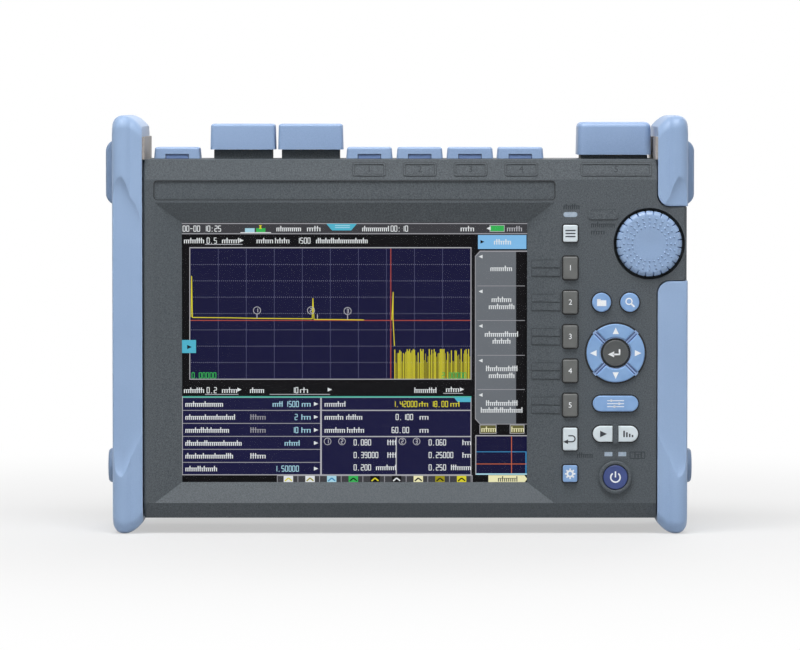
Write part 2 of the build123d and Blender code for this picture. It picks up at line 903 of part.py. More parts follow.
# Chassis frame: a flanged plate that holds the panel and the main board
frame_y = panel_y + panel_thick + panel_gap
frame_height_z = cavity_high_z - cavity_low_z - 2 * frame_margin
case_mid_z = (cavity_low_z + cavity_high_z) / 2
standoff_xs = (-inner_half + board_margin + standoff_radius, key_area_left_x - board_margin)
standoff_zs = (cavity_low_z + board_margin, cavity_high_z - 2 * board_margin)
with BuildPart() as chassis_frame:
    with BuildSketch(front_plane(frame_y + frame_thick)):
        with Locations(((key_area_left_x - inner_half) / 2, case_mid_z)):
            Rectangle(key_area_left_x + inner_half - 2 * frame_margin, frame_height_z)
            RectangleRounded(
                window_width * frame_window_share, window_height * frame_window_share, panel_corner,
                mode=Mode.SUBTRACT,
            )
    extrude(amount=frame_thick)
    with BuildSketch(front_plane(board_y)):
        with Locations([(x, z) for x in standoff_xs for z in standoff_zs]):
            Circle(standoff_radius)
    extrude(amount=board_y - frame_y - frame_thick)
save(chassis_frame, "chassis_frame")

board_left_x = -inner_half + board_margin
with BuildPart() as main_board:
    with BuildSketch(front_plane(board_y + board_thick)):
        with Locations((0, case_mid_z)):
            RectangleRounded(-2 * board_left_x, frame_height_z, panel_corner)
    extrude(amount=board_thick)
save(main_board, "main_board")

with BuildPart() as keypad_board:
    with BuildSketch(front_plane(keypad_y + keypad_thick)):
        with Locations(((key_area_left_x + inner_half) / 2, (chin_z + brow_z) / 2)):
            Rectangle(
                inner_half - key_area_left_x - 2 * seam_gap, brow_z - chin_z - 2 * wall - 2 * seam_gap
            )
        with Locations((dial_x, dial_z)):
            Rectangle(encoder_width + 2 * seam_gap, encoder_width + 2 * seam_gap)
            Circle(hub_radius, mode=Mode.SUBTRACT)
    extrude(amount=keypad_thick)
save(keypad_board, "keypad_board")

# Small covers: name, centre x; large covers: name, centre x, seat height, width, height, rounding
small_ports = {"dc": dc_x, "usb_1": usb_xs[0], "usb_2": usb_xs[1], "usb_3": usb_xs[2], "lan": lan_x}
large_ports = {
    "port_1": (port_1_x, base_height, base_width, large_cover_width, large_cover_height, large_cover_round),
    "port_2": (port_2_x, base_height, base_width, large_cover_width, large_cover_height, large_cover_round),
    "option": (
        option_port_x, option_base_height, option_base_width, option_cover_width,
        option_cover_height, option_cover_round,
    ),
}

# Bays in the back wall: centre x, centre z, plate width, plate height, opening width, opening height
module_top_z = case_top - module_top_drop
module_mid_z = (module_bottom_z + module_top_z) / 2
module_height = module_top_z - module_bottom_z
module_plate_height = module_height + 2 * module_plate_lip
bays = [
    (otdr_x, module_mid_z, otdr_plate_width, module_plate_height, otdr_width, module_height),
    (option_x, module_mid_z, option_plate_width, module_plate_height, option_width, module_height),
    (battery_x, battery_z, door_width, door_height, battery_width, battery_height),
]
bay_floor_y = case_back_y - bay_recess
battery_front_y = bay_floor_y - battery_thick - battery_play
stand_pivot_y = case_back_y - stand_recess + stand_barrel + stand_swing_gap
stand_pivot_z = stand_high_z - stand_barrel
stand_mid_z = (stand_low_z + stand_high_z) / 2
door_screw_spots = [
    (battery_x, battery_z + side * (door_height / 2 - door_screw_inset)) for side in (-1, 1)
]
otdr_screw_reach = (otdr_plate_width + otdr_width) / 4
option_screw_reach = (option_plate_width + option_width) / 4
module_screw_spots = [
    (otdr_x - otdr_screw_reach, module_mid_z),
    (otdr_x + otdr_screw_reach, module_mid_z),
    (option_x - option_screw_reach, module_mid_z),
    (option_x + option_screw_reach, module_mid_z),
]
adapter_spots = {name: (port[0], case_top + port[1]) for name, port in large_ports.items()}


def hinge_lines():
    """Centre x, pivot y, pivot z and cover width of every cover hinge."""
    lines = []
    for x in small_ports.values():
        pivot_y = small_cover_front_y + small_cover_length + hinge_setback
        lines.append((x, pivot_y, case_top + hinge_rise, small_cover_width))
    for x, rise, base, width, height, rounding in large_ports.values():
        pivot_y = large_cover_front_y + large_cover_length + hinge_setback
        lines.append((x, pivot_y, case_top + rise + hinge_rise, width))
    return lines


def gasket_ring(grow=0):
    """The seal's path round the split, inside both case walls."""
    outer = inner_half + seam_gap + gasket_width + grow
    outer_z = (case_top - case_bottom) / 2 - seam_gap
    with BuildSketch(Plane.XY) as ring:
        with Locations((0, case_mid_z)):
            Rectangle(2 * outer, 2 * outer_z)
            Rectangle(2 * (outer - gasket_width), 2 * (outer_z - gasket_width), mode=Mode.SUBTRACT)
    return ring.sketch


# Rear case
with BuildPart() as rear_case:
    with BuildSketch(front_plane(case_back_y)):
        with Locations((0, (case_bottom + case_top) / 2)):
            Rectangle(2 * guard_inner_x, case_top - case_bottom)
    extrude(amount=case_back_y - split_y)
    back_edges = rear_case.edges().filter_by(Axis.X).filter_by(
        lambda e: e.center().Y > case_back_y - slide_gap
    )
    fillet(back_edges, rear_corner)
    with BuildSketch(front_plane(case_back_y - wall)):
        with Locations((0, case_mid_z)):
            Rectangle(2 * (guard_inner_x - wall), cavity_high_z - cavity_low_z)
    extrude(amount=case_back_y - wall - split_y, mode=Mode.SUBTRACT)
    # Bays for the modules and the battery, and the recess for the stand
    for x, z, plate_width, plate_height, open_width, open_height in bays:
        with BuildSketch(front_plane(case_back_y - wall)):
            with Locations((x, z)):
                Rectangle(plate_width + 2 * bay_wall, plate_height + bay_wall)
        extrude(amount=bay_pad)
    with BuildSketch(front_plane(case_back_y - wall)):
        with Locations((battery_x, battery_z)):
            Rectangle(battery_width + 2 * bay_wall, battery_height + 2 * bay_wall)
    extrude(amount=case_back_y - wall - battery_front_y + bay_wall)
    with BuildSketch(front_plane(case_back_y - wall)):
        with Locations((0, stand_mid_z)):
            Rectangle(
                stand_width + 2 * (stand_gap + stand_ear),
                stand_high_z - stand_low_z + 2 * (stand_gap + bay_wall),
            )
    extrude(amount=stand_recess + bay_wall - wall)
    with BuildSketch(front_plane(bay_floor_y)):
        with Locations(module_screw_spots + door_screw_spots):
            Circle(knob_screw_boss)
    extrude(amount=knob_screw_length)
    for x, z, plate_width, plate_height, open_width, open_height in bays:
        with BuildSketch(front_plane(case_back_y + overrun)):
            with Locations((x, z)):
                RectangleRounded(plate_width + 2 * slide_gap, plate_height + 2 * slide_gap, door_corner)
        extrude(amount=bay_recess + overrun, mode=Mode.SUBTRACT)
    for x, z, plate_width, plate_height, open_width, open_height in bays[:2]:
        with BuildSketch(front_plane(case_back_y)):
            with Locations((x, z)):
                Rectangle(open_width + 2 * slide_gap, open_height + 2 * slide_gap)
        extrude(amount=bay_recess + knob_screw_length + overrun, mode=Mode.SUBTRACT)
    with BuildSketch(front_plane(case_back_y)):
        with Locations((battery_x, battery_z)):
            Rectangle(battery_width + 2 * slide_gap, battery_height + 2 * slide_gap)
    extrude(amount=case_back_y - battery_front_y, mode=Mode.SUBTRACT)
    with BuildSketch(front_plane(case_back_y + overrun)):
        with Locations((0, stand_mid_z)):
            Rectangle(stand_width + 2 * stand_gap, stand_high_z - stand_low_z + 2 * stand_gap)
    extrude(amount=stand_recess + overrun, mode=Mode.SUBTRACT)
    with BuildSketch(Plane.YZ.offset(-(stand_width + stand_pin_length) / 2)):
        with Locations((stand_pivot_y, stand_pivot_z)):
            Circle(stand_pin_radius)
    extrude(amount=stand_width + stand_pin_length, mode=Mode.SUBTRACT)
    # Vents
    with BuildSketch(front_plane(case_back_y)):
        with Locations((-battery_x, vent_z)):
            with GridLocations(0, vent_pitch, 1, vent_count):
                SlotOverall(vent_width, vent_height)
    extrude(amount=wall + overrun, mode=Mode.SUBTRACT)
    # Screw posts that meet those of the front case
    with BuildSketch(front_plane(case_back_y - wall)):
        with Locations(screw_spots):
            Circle(case_boss_radius)
    extrude(amount=case_back_y - wall - split_y)
    with BuildSketch(front_plane(case_back_y)):
        with Locations(screw_spots):
            Circle(screw_head_radius + screw_play)
    extrude(amount=screw_head_height, mode=Mode.SUBTRACT)
    with BuildSketch(front_plane(case_back_y)):
        with Locations(screw_spots):
            Circle(screw_shank_radius + screw_play)
    extrude(amount=case_back_y - split_y, mode=Mode.SUBTRACT)
    with BuildSketch(front_plane(case_back_y)):
        with Locations(module_screw_spots + door_screw_spots):
            Circle(screw_shank_radius + screw_play)
    extrude(amount=bay_recess + knob_screw_length - overrun, mode=Mode.SUBTRACT)
    with BuildSketch(Plane.YZ.offset(-guard_inner_x)):
        with Locations((boss_y, boss_z)):
            Circle(screw_shank_radius + screw_play)
    extrude(amount=2 * guard_inner_x, mode=Mode.SUBTRACT)
    # Blocks under the large covers, and the ears of every hinge
    for x, rise, base, width, height, rounding in large_ports.values():
        block_back_y = large_cover_front_y + large_cover_length + hinge_setback + knuckle_radius
        block_front_y = large_cover_front_y + base_inset
        with BuildSketch(Plane.XY.offset(case_top)):
            with Locations((x, (block_front_y + block_back_y) / 2)):
                Rectangle(base, block_back_y - block_front_y)
        extrude(amount=rise)
    for x, pivot_y, pivot_z, width in hinge_lines():
        knuckle = knuckle_share * width
        for side in (-1, 1):
            ear_x = x + side * (knuckle / 2 + slide_gap + ear_width / 2) - ear_width / 2
            with BuildSketch(Plane.YZ.offset(ear_x)):
                with Locations((pivot_y, pivot_z)):
                    Circle(knuckle_radius)
                with Locations((pivot_y, pivot_z - (hinge_rise + seat_gap) / 2)):
                    Rectangle(2 * knuckle_radius, hinge_rise + seat_gap)
                with Locations((pivot_y, pivot_z)):
                    Circle(hinge_pin_radius, mode=Mode.SUBTRACT)
            extrude(amount=ear_width)
    # Port openings in the top
    with BuildSketch(Plane.XY.offset(case_top - wall)):
        for x in usb_xs:
            with Locations((x, board_y + board_thick + usb_thick / 2)):
                Rectangle(usb_width + 2 * slide_gap, usb_thick + 2 * slide_gap)
        with Locations((lan_x, board_y + board_thick + lan_thick / 2)):
            Rectangle(lan_width + 2 * slide_gap, lan_thick + 2 * slide_gap)
        with Locations((dc_x, board_y + board_thick + dc_thick / 2)):
            Rectangle(dc_width + 2 * slide_gap, dc_thick + 2 * slide_gap)
        for x, seat_z in adapter_spots.values():
            with Locations((x, adapter_y)):
                Circle(adapter_tail_radius + slide_gap)
    extrude(amount=wall + base_height + overrun, mode=Mode.SUBTRACT)
    with BuildSketch(front_plane(split_y + gasket_thick / 2)):
        add(gasket_ring())
    extrude(amount=gasket_thick / 2, mode=Mode.SUBTRACT)
save(rear_case, "rear_case")

with BuildPart() as case_gasket:
    with BuildSketch(front_plane(split_y + gasket_thick / 2)):
        add(gasket_ring())
    extrude(amount=gasket_thick / 2)
save(case_gasket, "case_gasket")

with BuildPart() as case_screws:
    with BuildSketch(front_plane(case_back_y)):
        with Locations(screw_spots):
            Circle(screw_head_radius)
    extrude(amount=screw_head_height)
    with BuildSketch(front_plane(case_back_y)):
        with Locations(screw_spots):
            RegularPolygon(screw_socket_radius, 6)
    extrude(amount=screw_socket_depth, mode=Mode.SUBTRACT)
    with BuildSketch(front_plane(case_back_y - screw_head_height)):
        with Locations(screw_spots):
            Circle(screw_shank_radius)
    extrude(amount=case_back_y - screw_head_height - split_y + front_boss_length - overrun)
save(case_screws, "case_screws")


# Guards
def guard_outline():
    """Front outline of the right guard: rolled ends with a shoulder that slopes to the inner edge."""
    outer = guard_span / 2
    with BuildSketch(Plane.XY) as outline:
        with BuildLine():
            Polyline(
                (guard_inner_x, shoulder_drop),
                (guard_inner_x + shoulder_reach, 0),
                (outer, 0),
                (outer, guard_height),
                (guard_inner_x + shoulder_reach, guard_height),
                (guard_inner_x, guard_height - shoulder_drop),
                close=True,
            )
        make_face()
        columns = outline.vertices().group_by(Axis.X)
        fillet(columns[-1], guard_corner)
        shoulders = outline.vertices().filter_by(
            lambda v: abs(v.X - guard_inner_x - shoulder_reach) < slide_gap
        )
        fillet(shoulders, guard_shoulder_round)
    return outline.sketch


def make_guard():
    """The right guard, before the dial's notch."""
    outer = guard_span / 2
    with BuildPart() as guard:
        with BuildSketch(front_plane(back_y)):
            add(guard_outline())
        extrude(amount=body_depth)
        rims = guard.edges().filter_by(
            lambda e: abs(abs(e.center().Y) - back_y) < slide_gap
            and e.center().X > guard_inner_x + slide_gap
        )
        fillet(rims, guard_roll)
        # Inner strip, set back from the roll
        with BuildSketch(Plane.XY.offset(-overrun)):
            with BuildLine():
                Polyline(
                    (guard_inner_x - overrun, front_y - overrun),
                    (guard_inner_x + strip_reach + strip_slope, front_y - overrun),
                    (guard_inner_x + strip_reach + strip_slope, front_y),
                    (guard_inner_x + strip_reach, front_y + strip_drop_outer),
                    (guard_inner_x - overrun, front_y + strip_drop_inner),
                    close=True,
                )
            make_face()
        extrude(amount=guard_height + 2 * overrun, mode=Mode.SUBTRACT)
        # Scoop that flattens the middle and leaves a full roll at each end
        with BuildSketch(Plane.YZ.offset(guard_inner_x - overrun)):
            with BuildLine():
                Polyline(
                    (front_y - overrun, scoop_bottom_z),
                    (front_y, scoop_bottom_z),
                    (front_y + scoop_depth, scoop_bottom_z + scoop_ramp),
                    (front_y + scoop_depth, scoop_top_z - scoop_ramp),
                    (front_y, scoop_top_z),
                    (front_y - overrun, scoop_top_z),
                    close=True,
                )
            make_face()
        extrude(amount=guard_width + 2 * overrun, mode=Mode.SUBTRACT)
        # Grip ribs on the side
        rib_mid_z = grip_rib_low_z + (grip_rib_count - 1) * grip_rib_pitch / 2
        with BuildSketch(Plane.YZ.offset(outer - slide_gap)):
            with Locations((0, rib_mid_z)):
                with GridLocations(0, grip_rib_pitch, 1, grip_rib_count):
                    SlotOverall(grip_rib_length, grip_rib_width)
        extrude(amount=grip_rib_proud + slide_gap)
        # Upper lug with a strap slot
        with BuildSketch(Plane.XY, mode=Mode.PRIVATE) as lug_outline:
            with Locations((outer + (lug_reach - wall) / 2, (lug_low_z + lug_high_z) / 2)):
                Rectangle(lug_reach + wall, lug_high_z - lug_low_z)
            fillet(lug_outline.vertices().group_by(Axis.X)[-1], lug_corner)
        with BuildSketch(front_plane(lug_back_y)):
            add(lug_outline.sketch)
        extrude(amount=lug_back_y - lug_front_y)
        slot_x = outer + lug_reach - strap_wall - strap_slot / 2
        with BuildSketch(Plane.XY.offset(lug_low_z - overrun)):
            with Locations((slot_x, (lug_front_y + lug_back_y) / 2)):
                Rectangle(strap_slot, strap_width)
        extrude(amount=lug_high_z - lug_low_z + 2 * overrun, mode=Mode.SUBTRACT)
        # Lower round boss over the guard's screw
        with BuildSketch(Plane.YZ.offset(outer - wall)):
            with Locations((boss_y, boss_z)):
                Circle(boss_radius)
        extrude(amount=wall + boss_reach)
        boss_faces = guard.faces().filter_by(
            lambda f: abs(f.center().Z - boss_z) < slide_gap
            and f.center().X > outer + boss_reach - slide_gap
        )
        fillet(boss_faces[0].edges(), boss_edge)
        with BuildSketch(Plane.YZ.offset(outer + boss_reach - boss_sink)):
            with Locations((boss_y, boss_z)):
                Circle(boss_bore)
        extrude(amount=boss_sink, mode=Mode.SUBTRACT)
        with BuildSketch(Plane.YZ.offset(guard_inner_x)):
            with Locations((boss_y, boss_z)):
                Circle(screw_shank_radius + screw_play)
        extrude(amount=guard_width + boss_reach, mode=Mode.SUBTRACT)
    return guard


plain_guard = make_guard()
with BuildPart() as guard_left:
    add(mirror(plain_guard.part, about=Plane.YZ))
save(guard_left, "guard_left")

with BuildPart() as guard_right:
    add(plain_guard.part)
    with BuildSketch(front_plane(split_y + guard_notch_gap)):
        with Locations((guard_inner_x + guard_width / 2, dial_z)):
            Rectangle(guard_width + 2 * overrun, cheek_height + 2 * guard_notch_gap)
    extrude(amount=split_y + guard_notch_gap - front_y + overrun, mode=Mode.SUBTRACT)
    notch_corners = guard_right.edges().filter_by(Axis.Y).filter_by(
        lambda e: abs(e.center().X - guard_inner_x) < slide_gap
        and abs(abs(e.center().Z - dial_z) - cheek_height / 2 - guard_notch_gap) < slide_gap
    )
    fillet(notch_corners, guard_notch_radius)
save(guard_right, "guard_right")

with BuildPart() as side_liners:
    with BuildSketch(Plane.XY.offset(case_top)):
        for side in (-1, 1):
            with Locations((side * (guard_inner_x - liner_thick / 2), 0)):
                Rectangle(liner_thick, body_depth - 2 * liner_inset)
    extrude(amount=liner_top_z - case_top)
save(side_liners, "side_liners")

with BuildPart() as guard_screws:
    screw_top_x = guard_span / 2 + boss_reach - boss_sink
    for side in (-1, 1):
        head_low_x = screw_top_x if side > 0 else -screw_top_x - screw_head_height
        with BuildSketch(Plane.YZ.offset(head_low_x)):
            with Locations((boss_y, boss_z)):
                Circle(screw_head_radius)
        extrude(amount=screw_head_height)
        with BuildSketch(Plane.YZ.offset(side * (screw_top_x + screw_head_height))):
            with Locations((boss_y, boss_z)):
                RegularPolygon(screw_socket_radius, 6)
        extrude(amount=-side * screw_socket_depth, mode=Mode.SUBTRACT)
        with BuildSketch(Plane.YZ.offset(side * screw_top_x)):
            with Locations((boss_y, boss_z)):
                Circle(screw_shank_radius)
        extrude(amount=-side * (screw_top_x - guard_inner_x + wall + overrun))
save(guard_screws, "guard_screws")


# Covers
def make_cover(name, x, seat_z, width, height, front, length, thick, rounding, taper, notched):
    """A hood that sits over a port, with a knuckle behind it for the hinge pin."""
    low_z = seat_z + cover_seat
    pivot_y = front + length + hinge_setback
    pivot_z = seat_z + hinge_rise
    knuckle = knuckle_share * width
    with BuildPart() as cover:
        with BuildSketch(Plane.XY.offset(low_z)):
            with Locations((x, front + length / 2)):
                RectangleRounded(width, length, rounding)
        extrude(amount=height - cover_seat, taper=taper)
        fillet(cover.faces().sort_by(Axis.Z)[-1].edges(), rounding * 3 / 4)
        with BuildSketch(Plane.XY.offset(low_z)):
            with Locations((x, front + length / 2)):
                Rectangle(width - 2 * thick, length - 2 * thick)
        extrude(amount=height - cover_seat - thick, taper=taper, mode=Mode.SUBTRACT)
        with BuildSketch(Plane.YZ.offset(x - knuckle / 2)):
            with Locations((pivot_y, pivot_z)):
                Circle(knuckle_radius)
            with Locations((pivot_y - (hinge_setback + thick) / 2, pivot_z - hinge_pin_radius)):
                Rectangle(hinge_setback + thick, 2 * hinge_pin_radius)
        extrude(amount=knuckle)
        with BuildSketch(Plane.YZ.offset(x - knuckle / 2)):
            with Locations((pivot_y, pivot_z)):
                Circle(hinge_pin_radius + pivot_gap)
        extrude(amount=knuckle, mode=Mode.SUBTRACT)
        if notched:
            with BuildSketch(front_plane(front + notch_depth)):
                with Locations((x, low_z + notch_height / 2)):
                    Rectangle(notch_width, notch_height)
            extrude(amount=notch_depth, mode=Mode.SUBTRACT)
    save(cover, name)


for port, x in small_ports.items():
    make_cover(
        "cover_" + port, x, case_top, small_cover_width, small_cover_height, small_cover_front_y,
        small_cover_length, small_cover_wall, small_cover_round, small_cover_taper, True,
    )
for port, (x, rise, base, width, height, rounding) in large_ports.items():
    make_cover(
        "cover_" + port, x, case_top + rise, width, height, large_cover_front_y,
        large_cover_length, large_cover_wall, rounding, large_cover_taper, False,
    )

with BuildPart() as cover_pins:
    for x, pivot_y, pivot_z, width in hinge_lines():
        reach = knuckle_share * width / 2 + slide_gap + ear_width
        with BuildSketch(Plane.YZ.offset(x - reach)):
            with Locations((pivot_y, pivot_z)):
                Circle(hinge_pin_radius)
        extrude(amount=2 * reach)
save(cover_pins, "cover_pins")

# Jacks on the main board
jack_top_z = case_top - jack_sink
jack_y = board_y + board_thick
with BuildPart() as usb_jacks:
    for x in usb_xs:
        with BuildSketch(Plane.XY.offset(jack_top_z - usb_height)):
            with Locations((x, jack_y + usb_thick / 2)):
                Rectangle(usb_width, usb_thick)
        extrude(amount=usb_height)
        with BuildSketch(Plane.XY.offset(jack_top_z)):
            with Locations((x, jack_y + usb_thick / 2)):
                Rectangle(usb_width - 2 * usb_wall, usb_thick - 2 * usb_wall)
            tongue_y = jack_y + usb_wall + usb_tongue_inset + usb_tongue_thick / 2
            with Locations((x, tongue_y)):
                Rectangle(usb_width - 4 * usb_wall, usb_tongue_thick, mode=Mode.SUBTRACT)
        extrude(amount=-usb_mouth_depth, mode=Mode.SUBTRACT)
save(usb_jacks, "usb_jacks")

with BuildPart() as lan_jack:
    with BuildSketch(Plane.XY.offset(jack_top_z - lan_height)):
        with Locations((lan_x, jack_y + lan_thick / 2)):
            Rectangle(lan_width, lan_thick)
    extrude(amount=lan_height)
    lan_mouth_y = jack_y + (lan_thick - lan_latch_depth) / 2
    with BuildSketch(Plane.XY.offset(jack_top_z)):
        with Locations((lan_x, lan_mouth_y)):
            Rectangle(lan_mouth_width, lan_mouth_thick)
        with Locations((lan_x, lan_mouth_y + lan_mouth_thick / 2)):
            Rectangle(lan_latch_width, 2 * lan_latch_depth)
    extrude(amount=-lan_mouth_depth, mode=Mode.SUBTRACT)
save(lan_jack, "lan_jack")

with BuildPart() as dc_jack:
    with BuildSketch(Plane.XY.offset(jack_top_z - dc_height)):
        with Locations((dc_x, jack_y + dc_thick / 2)):
            Rectangle(dc_width, dc_thick)
    extrude(amount=dc_height)
    with BuildSketch(Plane.XY.offset(jack_top_z)):
        with Locations((dc_x, jack_y + dc_thick / 2)):
            Circle(dc_radius)
            Circle(dc_pin_radius, mode=Mode.SUBTRACT)
    extrude(amount=-dc_depth, mode=Mode.SUBTRACT)
save(dc_jack, "dc_jack")

# Fibre adapters: a flange on the block, a barrel with a ferrule bore, and a tail to the module
with BuildPart() as optical_adapters:
    for x, seat_z in adapter_spots.values():
        tail_low_z = module_top_z + seat_gap
        with BuildSketch(Plane.XY.offset(tail_low_z)):
            with Locations((x, adapter_y)):
                Circle(adapter_tail_radius)
        extrude(amount=seat_z - tail_low_z)
        with BuildSketch(Plane.XY.offset(seat_z)):
            with Locations((x, adapter_y)):
                RectangleRounded(adapter_flange, adapter_flange_depth, key_corner)
        extrude(amount=adapter_flange_thick)
        barrel_top_z = seat_z + adapter_flange_thick + adapter_height
        with BuildSketch(Plane.XY.offset(seat_z + adapter_flange_thick)):
            with Locations((x, adapter_y)):
                Circle(adapter_radius)
        extrude(amount=adapter_height)
        with BuildSketch(Plane.XY.offset(barrel_top_z)):
            with Locations((x, adapter_y)):
                Circle(adapter_cup_radius)
            with Locations((x, adapter_y - adapter_radius)):
                Rectangle(adapter_key_width, 2 * adapter_key_depth)
        extrude(amount=-adapter_cup_depth, mode=Mode.SUBTRACT)
        with BuildSketch(Plane.XY.offset(barrel_top_z - adapter_cup_depth)):
            with Locations((x, adapter_y)):
                Circle(ferrule_radius)
        extrude(amount=-ferrule_length, mode=Mode.SUBTRACT)
save(optical_adapters, "optical_adapters")


# Modules: a body in the bay and a plate flush with the back
def make_module(name, x, width, plate_width, spots):
    """A module that goes in from the back, with holes for its two captive screws."""
    with BuildPart() as module:
        with BuildSketch(front_plane(bay_floor_y)):
            with Locations((x, module_mid_z)):
                Rectangle(width, module_height)
        extrude(amount=bay_floor_y - module_front_y)
        with BuildSketch(front_plane(case_back_y)):
            with Locations((x, module_mid_z)):
                RectangleRounded(plate_width, module_plate_height, door_corner - slide_gap)
        extrude(amount=bay_recess)
        with BuildSketch(front_plane(case_back_y)):
            with Locations(spots):
                Circle(screw_shank_radius + screw_play)
        extrude(amount=bay_recess, mode=Mode.SUBTRACT)
    save(module, name)


make_module("otdr_module", otdr_x, otdr_width, otdr_plate_width, module_screw_spots[:2])
make_module("option_module", option_x, option_width, option_plate_width, module_screw_spots[2:])

with BuildPart() as module_screws:
    with BuildSketch(front_plane(case_back_y + knob_screw_head)):
        with Locations(module_screw_spots):
            Circle(knob_screw_radius)
    extrude(amount=knob_screw_head)
    with BuildSketch(front_plane(case_back_y + knob_screw_head)):
        with Locations(module_screw_spots):
            SlotOverall(2 * knob_screw_radius - wall, screw_socket_depth)
    extrude(amount=screw_socket_depth, mode=Mode.SUBTRACT)
    with BuildSketch(front_plane(case_back_y)):
        with Locations(module_screw_spots):
            Circle(screw_shank_radius)
    extrude(amount=knob_screw_length)
save(module_screws, "module_screws")

# Battery and its door
with BuildPart() as battery_pack:
    with BuildSketch(front_plane(bay_floor_y - battery_play)):
        with Locations((battery_x, battery_z)):
            Rectangle(battery_width, battery_height)
    extrude(amount=battery_thick)
    fillet(battery_pack.edges().filter_by(Axis.Z), panel_corner)
save(battery_pack, "battery_pack")

with BuildPart() as battery_cover:
    with BuildSketch(front_plane(case_back_y)):
        with Locations((battery_x, battery_z)):
            RectangleRounded(door_width, door_height, door_corner - slide_gap)
    extrude(amount=bay_recess)
    with BuildSketch(front_plane(case_back_y)):
        with Locations(door_screw_spots):
            Circle(screw_shank_radius + screw_play)
    extrude(amount=bay_recess, mode=Mode.SUBTRACT)
save(battery_cover, "battery_cover")

with BuildPart() as cover_screws:
    with BuildSketch(front_plane(case_back_y + screw_head_height)):
        with Locations(door_screw_spots):
            Circle(screw_head_radius)
    extrude(amount=screw_head_height)
    with BuildSketch(front_plane(case_back_y + screw_head_height)):
        with Locations(door_screw_spots):
            RegularPolygon(screw_socket_radius, 6)
    extrude(amount=screw_socket_depth, mode=Mode.SUBTRACT)
    with BuildSketch(front_plane(case_back_y)):
        with Locations(door_screw_spots):
            Circle(screw_shank_radius)
    extrude(amount=knob_screw_length)
save(cover_screws, "cover_screws")

# Tilt stand, hung from two pins
with BuildPart() as stand:
    with BuildSketch(Plane.XY, mode=Mode.PRIVATE) as stand_outline:
        with Locations((0, (stand_low_z + stand_pivot_z) / 2)):
            Rectangle(stand_width, stand_pivot_z - stand_low_z)
        fillet(stand_outline.vertices().group_by(Axis.Y)[0], stand_corner)
    with BuildSketch(front_plane(stand_pivot_y + stand_thick / 2)):
        add(stand_outline.sketch)
    extrude(amount=stand_thick)
    with BuildSketch(Plane.YZ.offset(-stand_width / 2)):
        with Locations((stand_pivot_y, stand_pivot_z)):
            Circle(stand_barrel)
    extrude(amount=stand_width)
    with BuildSketch(front_plane(stand_pivot_y + stand_thick / 2)):
        with Locations((0, stand_mid_z)):
            RectangleRounded(stand_groove_width, stand_groove_height, stand_corner)
    extrude(amount=stand_groove, mode=Mode.SUBTRACT)
    with BuildSketch(front_plane(stand_pivot_y + stand_thick / 2 + stand_lip)):
        with Locations((0, stand_low_z + stand_lip_height)):
            SlotOverall(stand_groove_width / 2, stand_lip_height)
    extrude(amount=stand_lip + slide_gap)
    for side in (-1, 1):
        with BuildSketch(Plane.YZ.offset(side * stand_width / 2)):
            with Locations((stand_pivot_y, stand_pivot_z)):
                Circle(stand_pin_radius + pivot_gap)
        extrude(amount=-side * stand_pin_length / 2, mode=Mode.SUBTRACT)
save(stand, "stand")

with BuildPart() as stand_pins:
    for side in (-1, 1):
        with BuildSketch(Plane.YZ.offset(side * (stand_width - stand_pin_length + seam_gap) / 2)):
            with Locations((stand_pivot_y, stand_pivot_z)):
                Circle(stand_pin_radius)
        extrude(amount=side * (stand_pin_length - seam_gap))
save(stand_pins, "stand_pins")
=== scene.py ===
import json
import math

import bpy
import numpy as np
from mathutils import Matrix, Vector


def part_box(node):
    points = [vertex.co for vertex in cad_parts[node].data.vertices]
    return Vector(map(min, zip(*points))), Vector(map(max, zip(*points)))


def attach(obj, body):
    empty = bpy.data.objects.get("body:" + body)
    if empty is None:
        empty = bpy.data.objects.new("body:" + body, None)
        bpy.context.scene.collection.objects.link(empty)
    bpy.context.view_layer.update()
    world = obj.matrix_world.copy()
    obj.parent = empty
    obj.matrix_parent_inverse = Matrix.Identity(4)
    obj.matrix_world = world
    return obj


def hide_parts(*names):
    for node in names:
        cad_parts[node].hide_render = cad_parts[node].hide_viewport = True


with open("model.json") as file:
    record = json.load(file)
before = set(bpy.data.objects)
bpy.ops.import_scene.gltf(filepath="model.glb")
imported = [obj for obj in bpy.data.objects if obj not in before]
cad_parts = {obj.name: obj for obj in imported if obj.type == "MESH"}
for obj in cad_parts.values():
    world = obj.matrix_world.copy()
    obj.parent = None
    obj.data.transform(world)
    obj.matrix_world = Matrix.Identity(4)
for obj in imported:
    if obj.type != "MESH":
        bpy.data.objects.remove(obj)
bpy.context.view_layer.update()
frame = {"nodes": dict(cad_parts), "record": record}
nodes = frame["nodes"]

# Lengths below are in metres; mm turns a millimetre value into metres
mm = 0.001


# Camera: the photograph's view, a long lens a little above the middle of the tester
PHOTO_WIDTH, PHOTO_HEIGHT = 800, 650
PIXELS_PER_MM = 2.01
CAMERA_DISTANCE = 2.45
CAMERA_ELEVATION = math.radians(2.6)
CAMERA_REACH = 50
SENSOR_WIDTH = 36.0
AIM_HEIGHT = 104.5 * mm
front_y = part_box("guard_left")[0].y
aim = Vector((0.0, front_y, AIM_HEIGHT))
towards_camera = Vector((0.0, -math.cos(CAMERA_ELEVATION), math.sin(CAMERA_ELEVATION)))
camera_place = aim + CAMERA_DISTANCE * towards_camera
camera_up = Vector((0.0, math.sin(CAMERA_ELEVATION), math.cos(CAMERA_ELEVATION)))


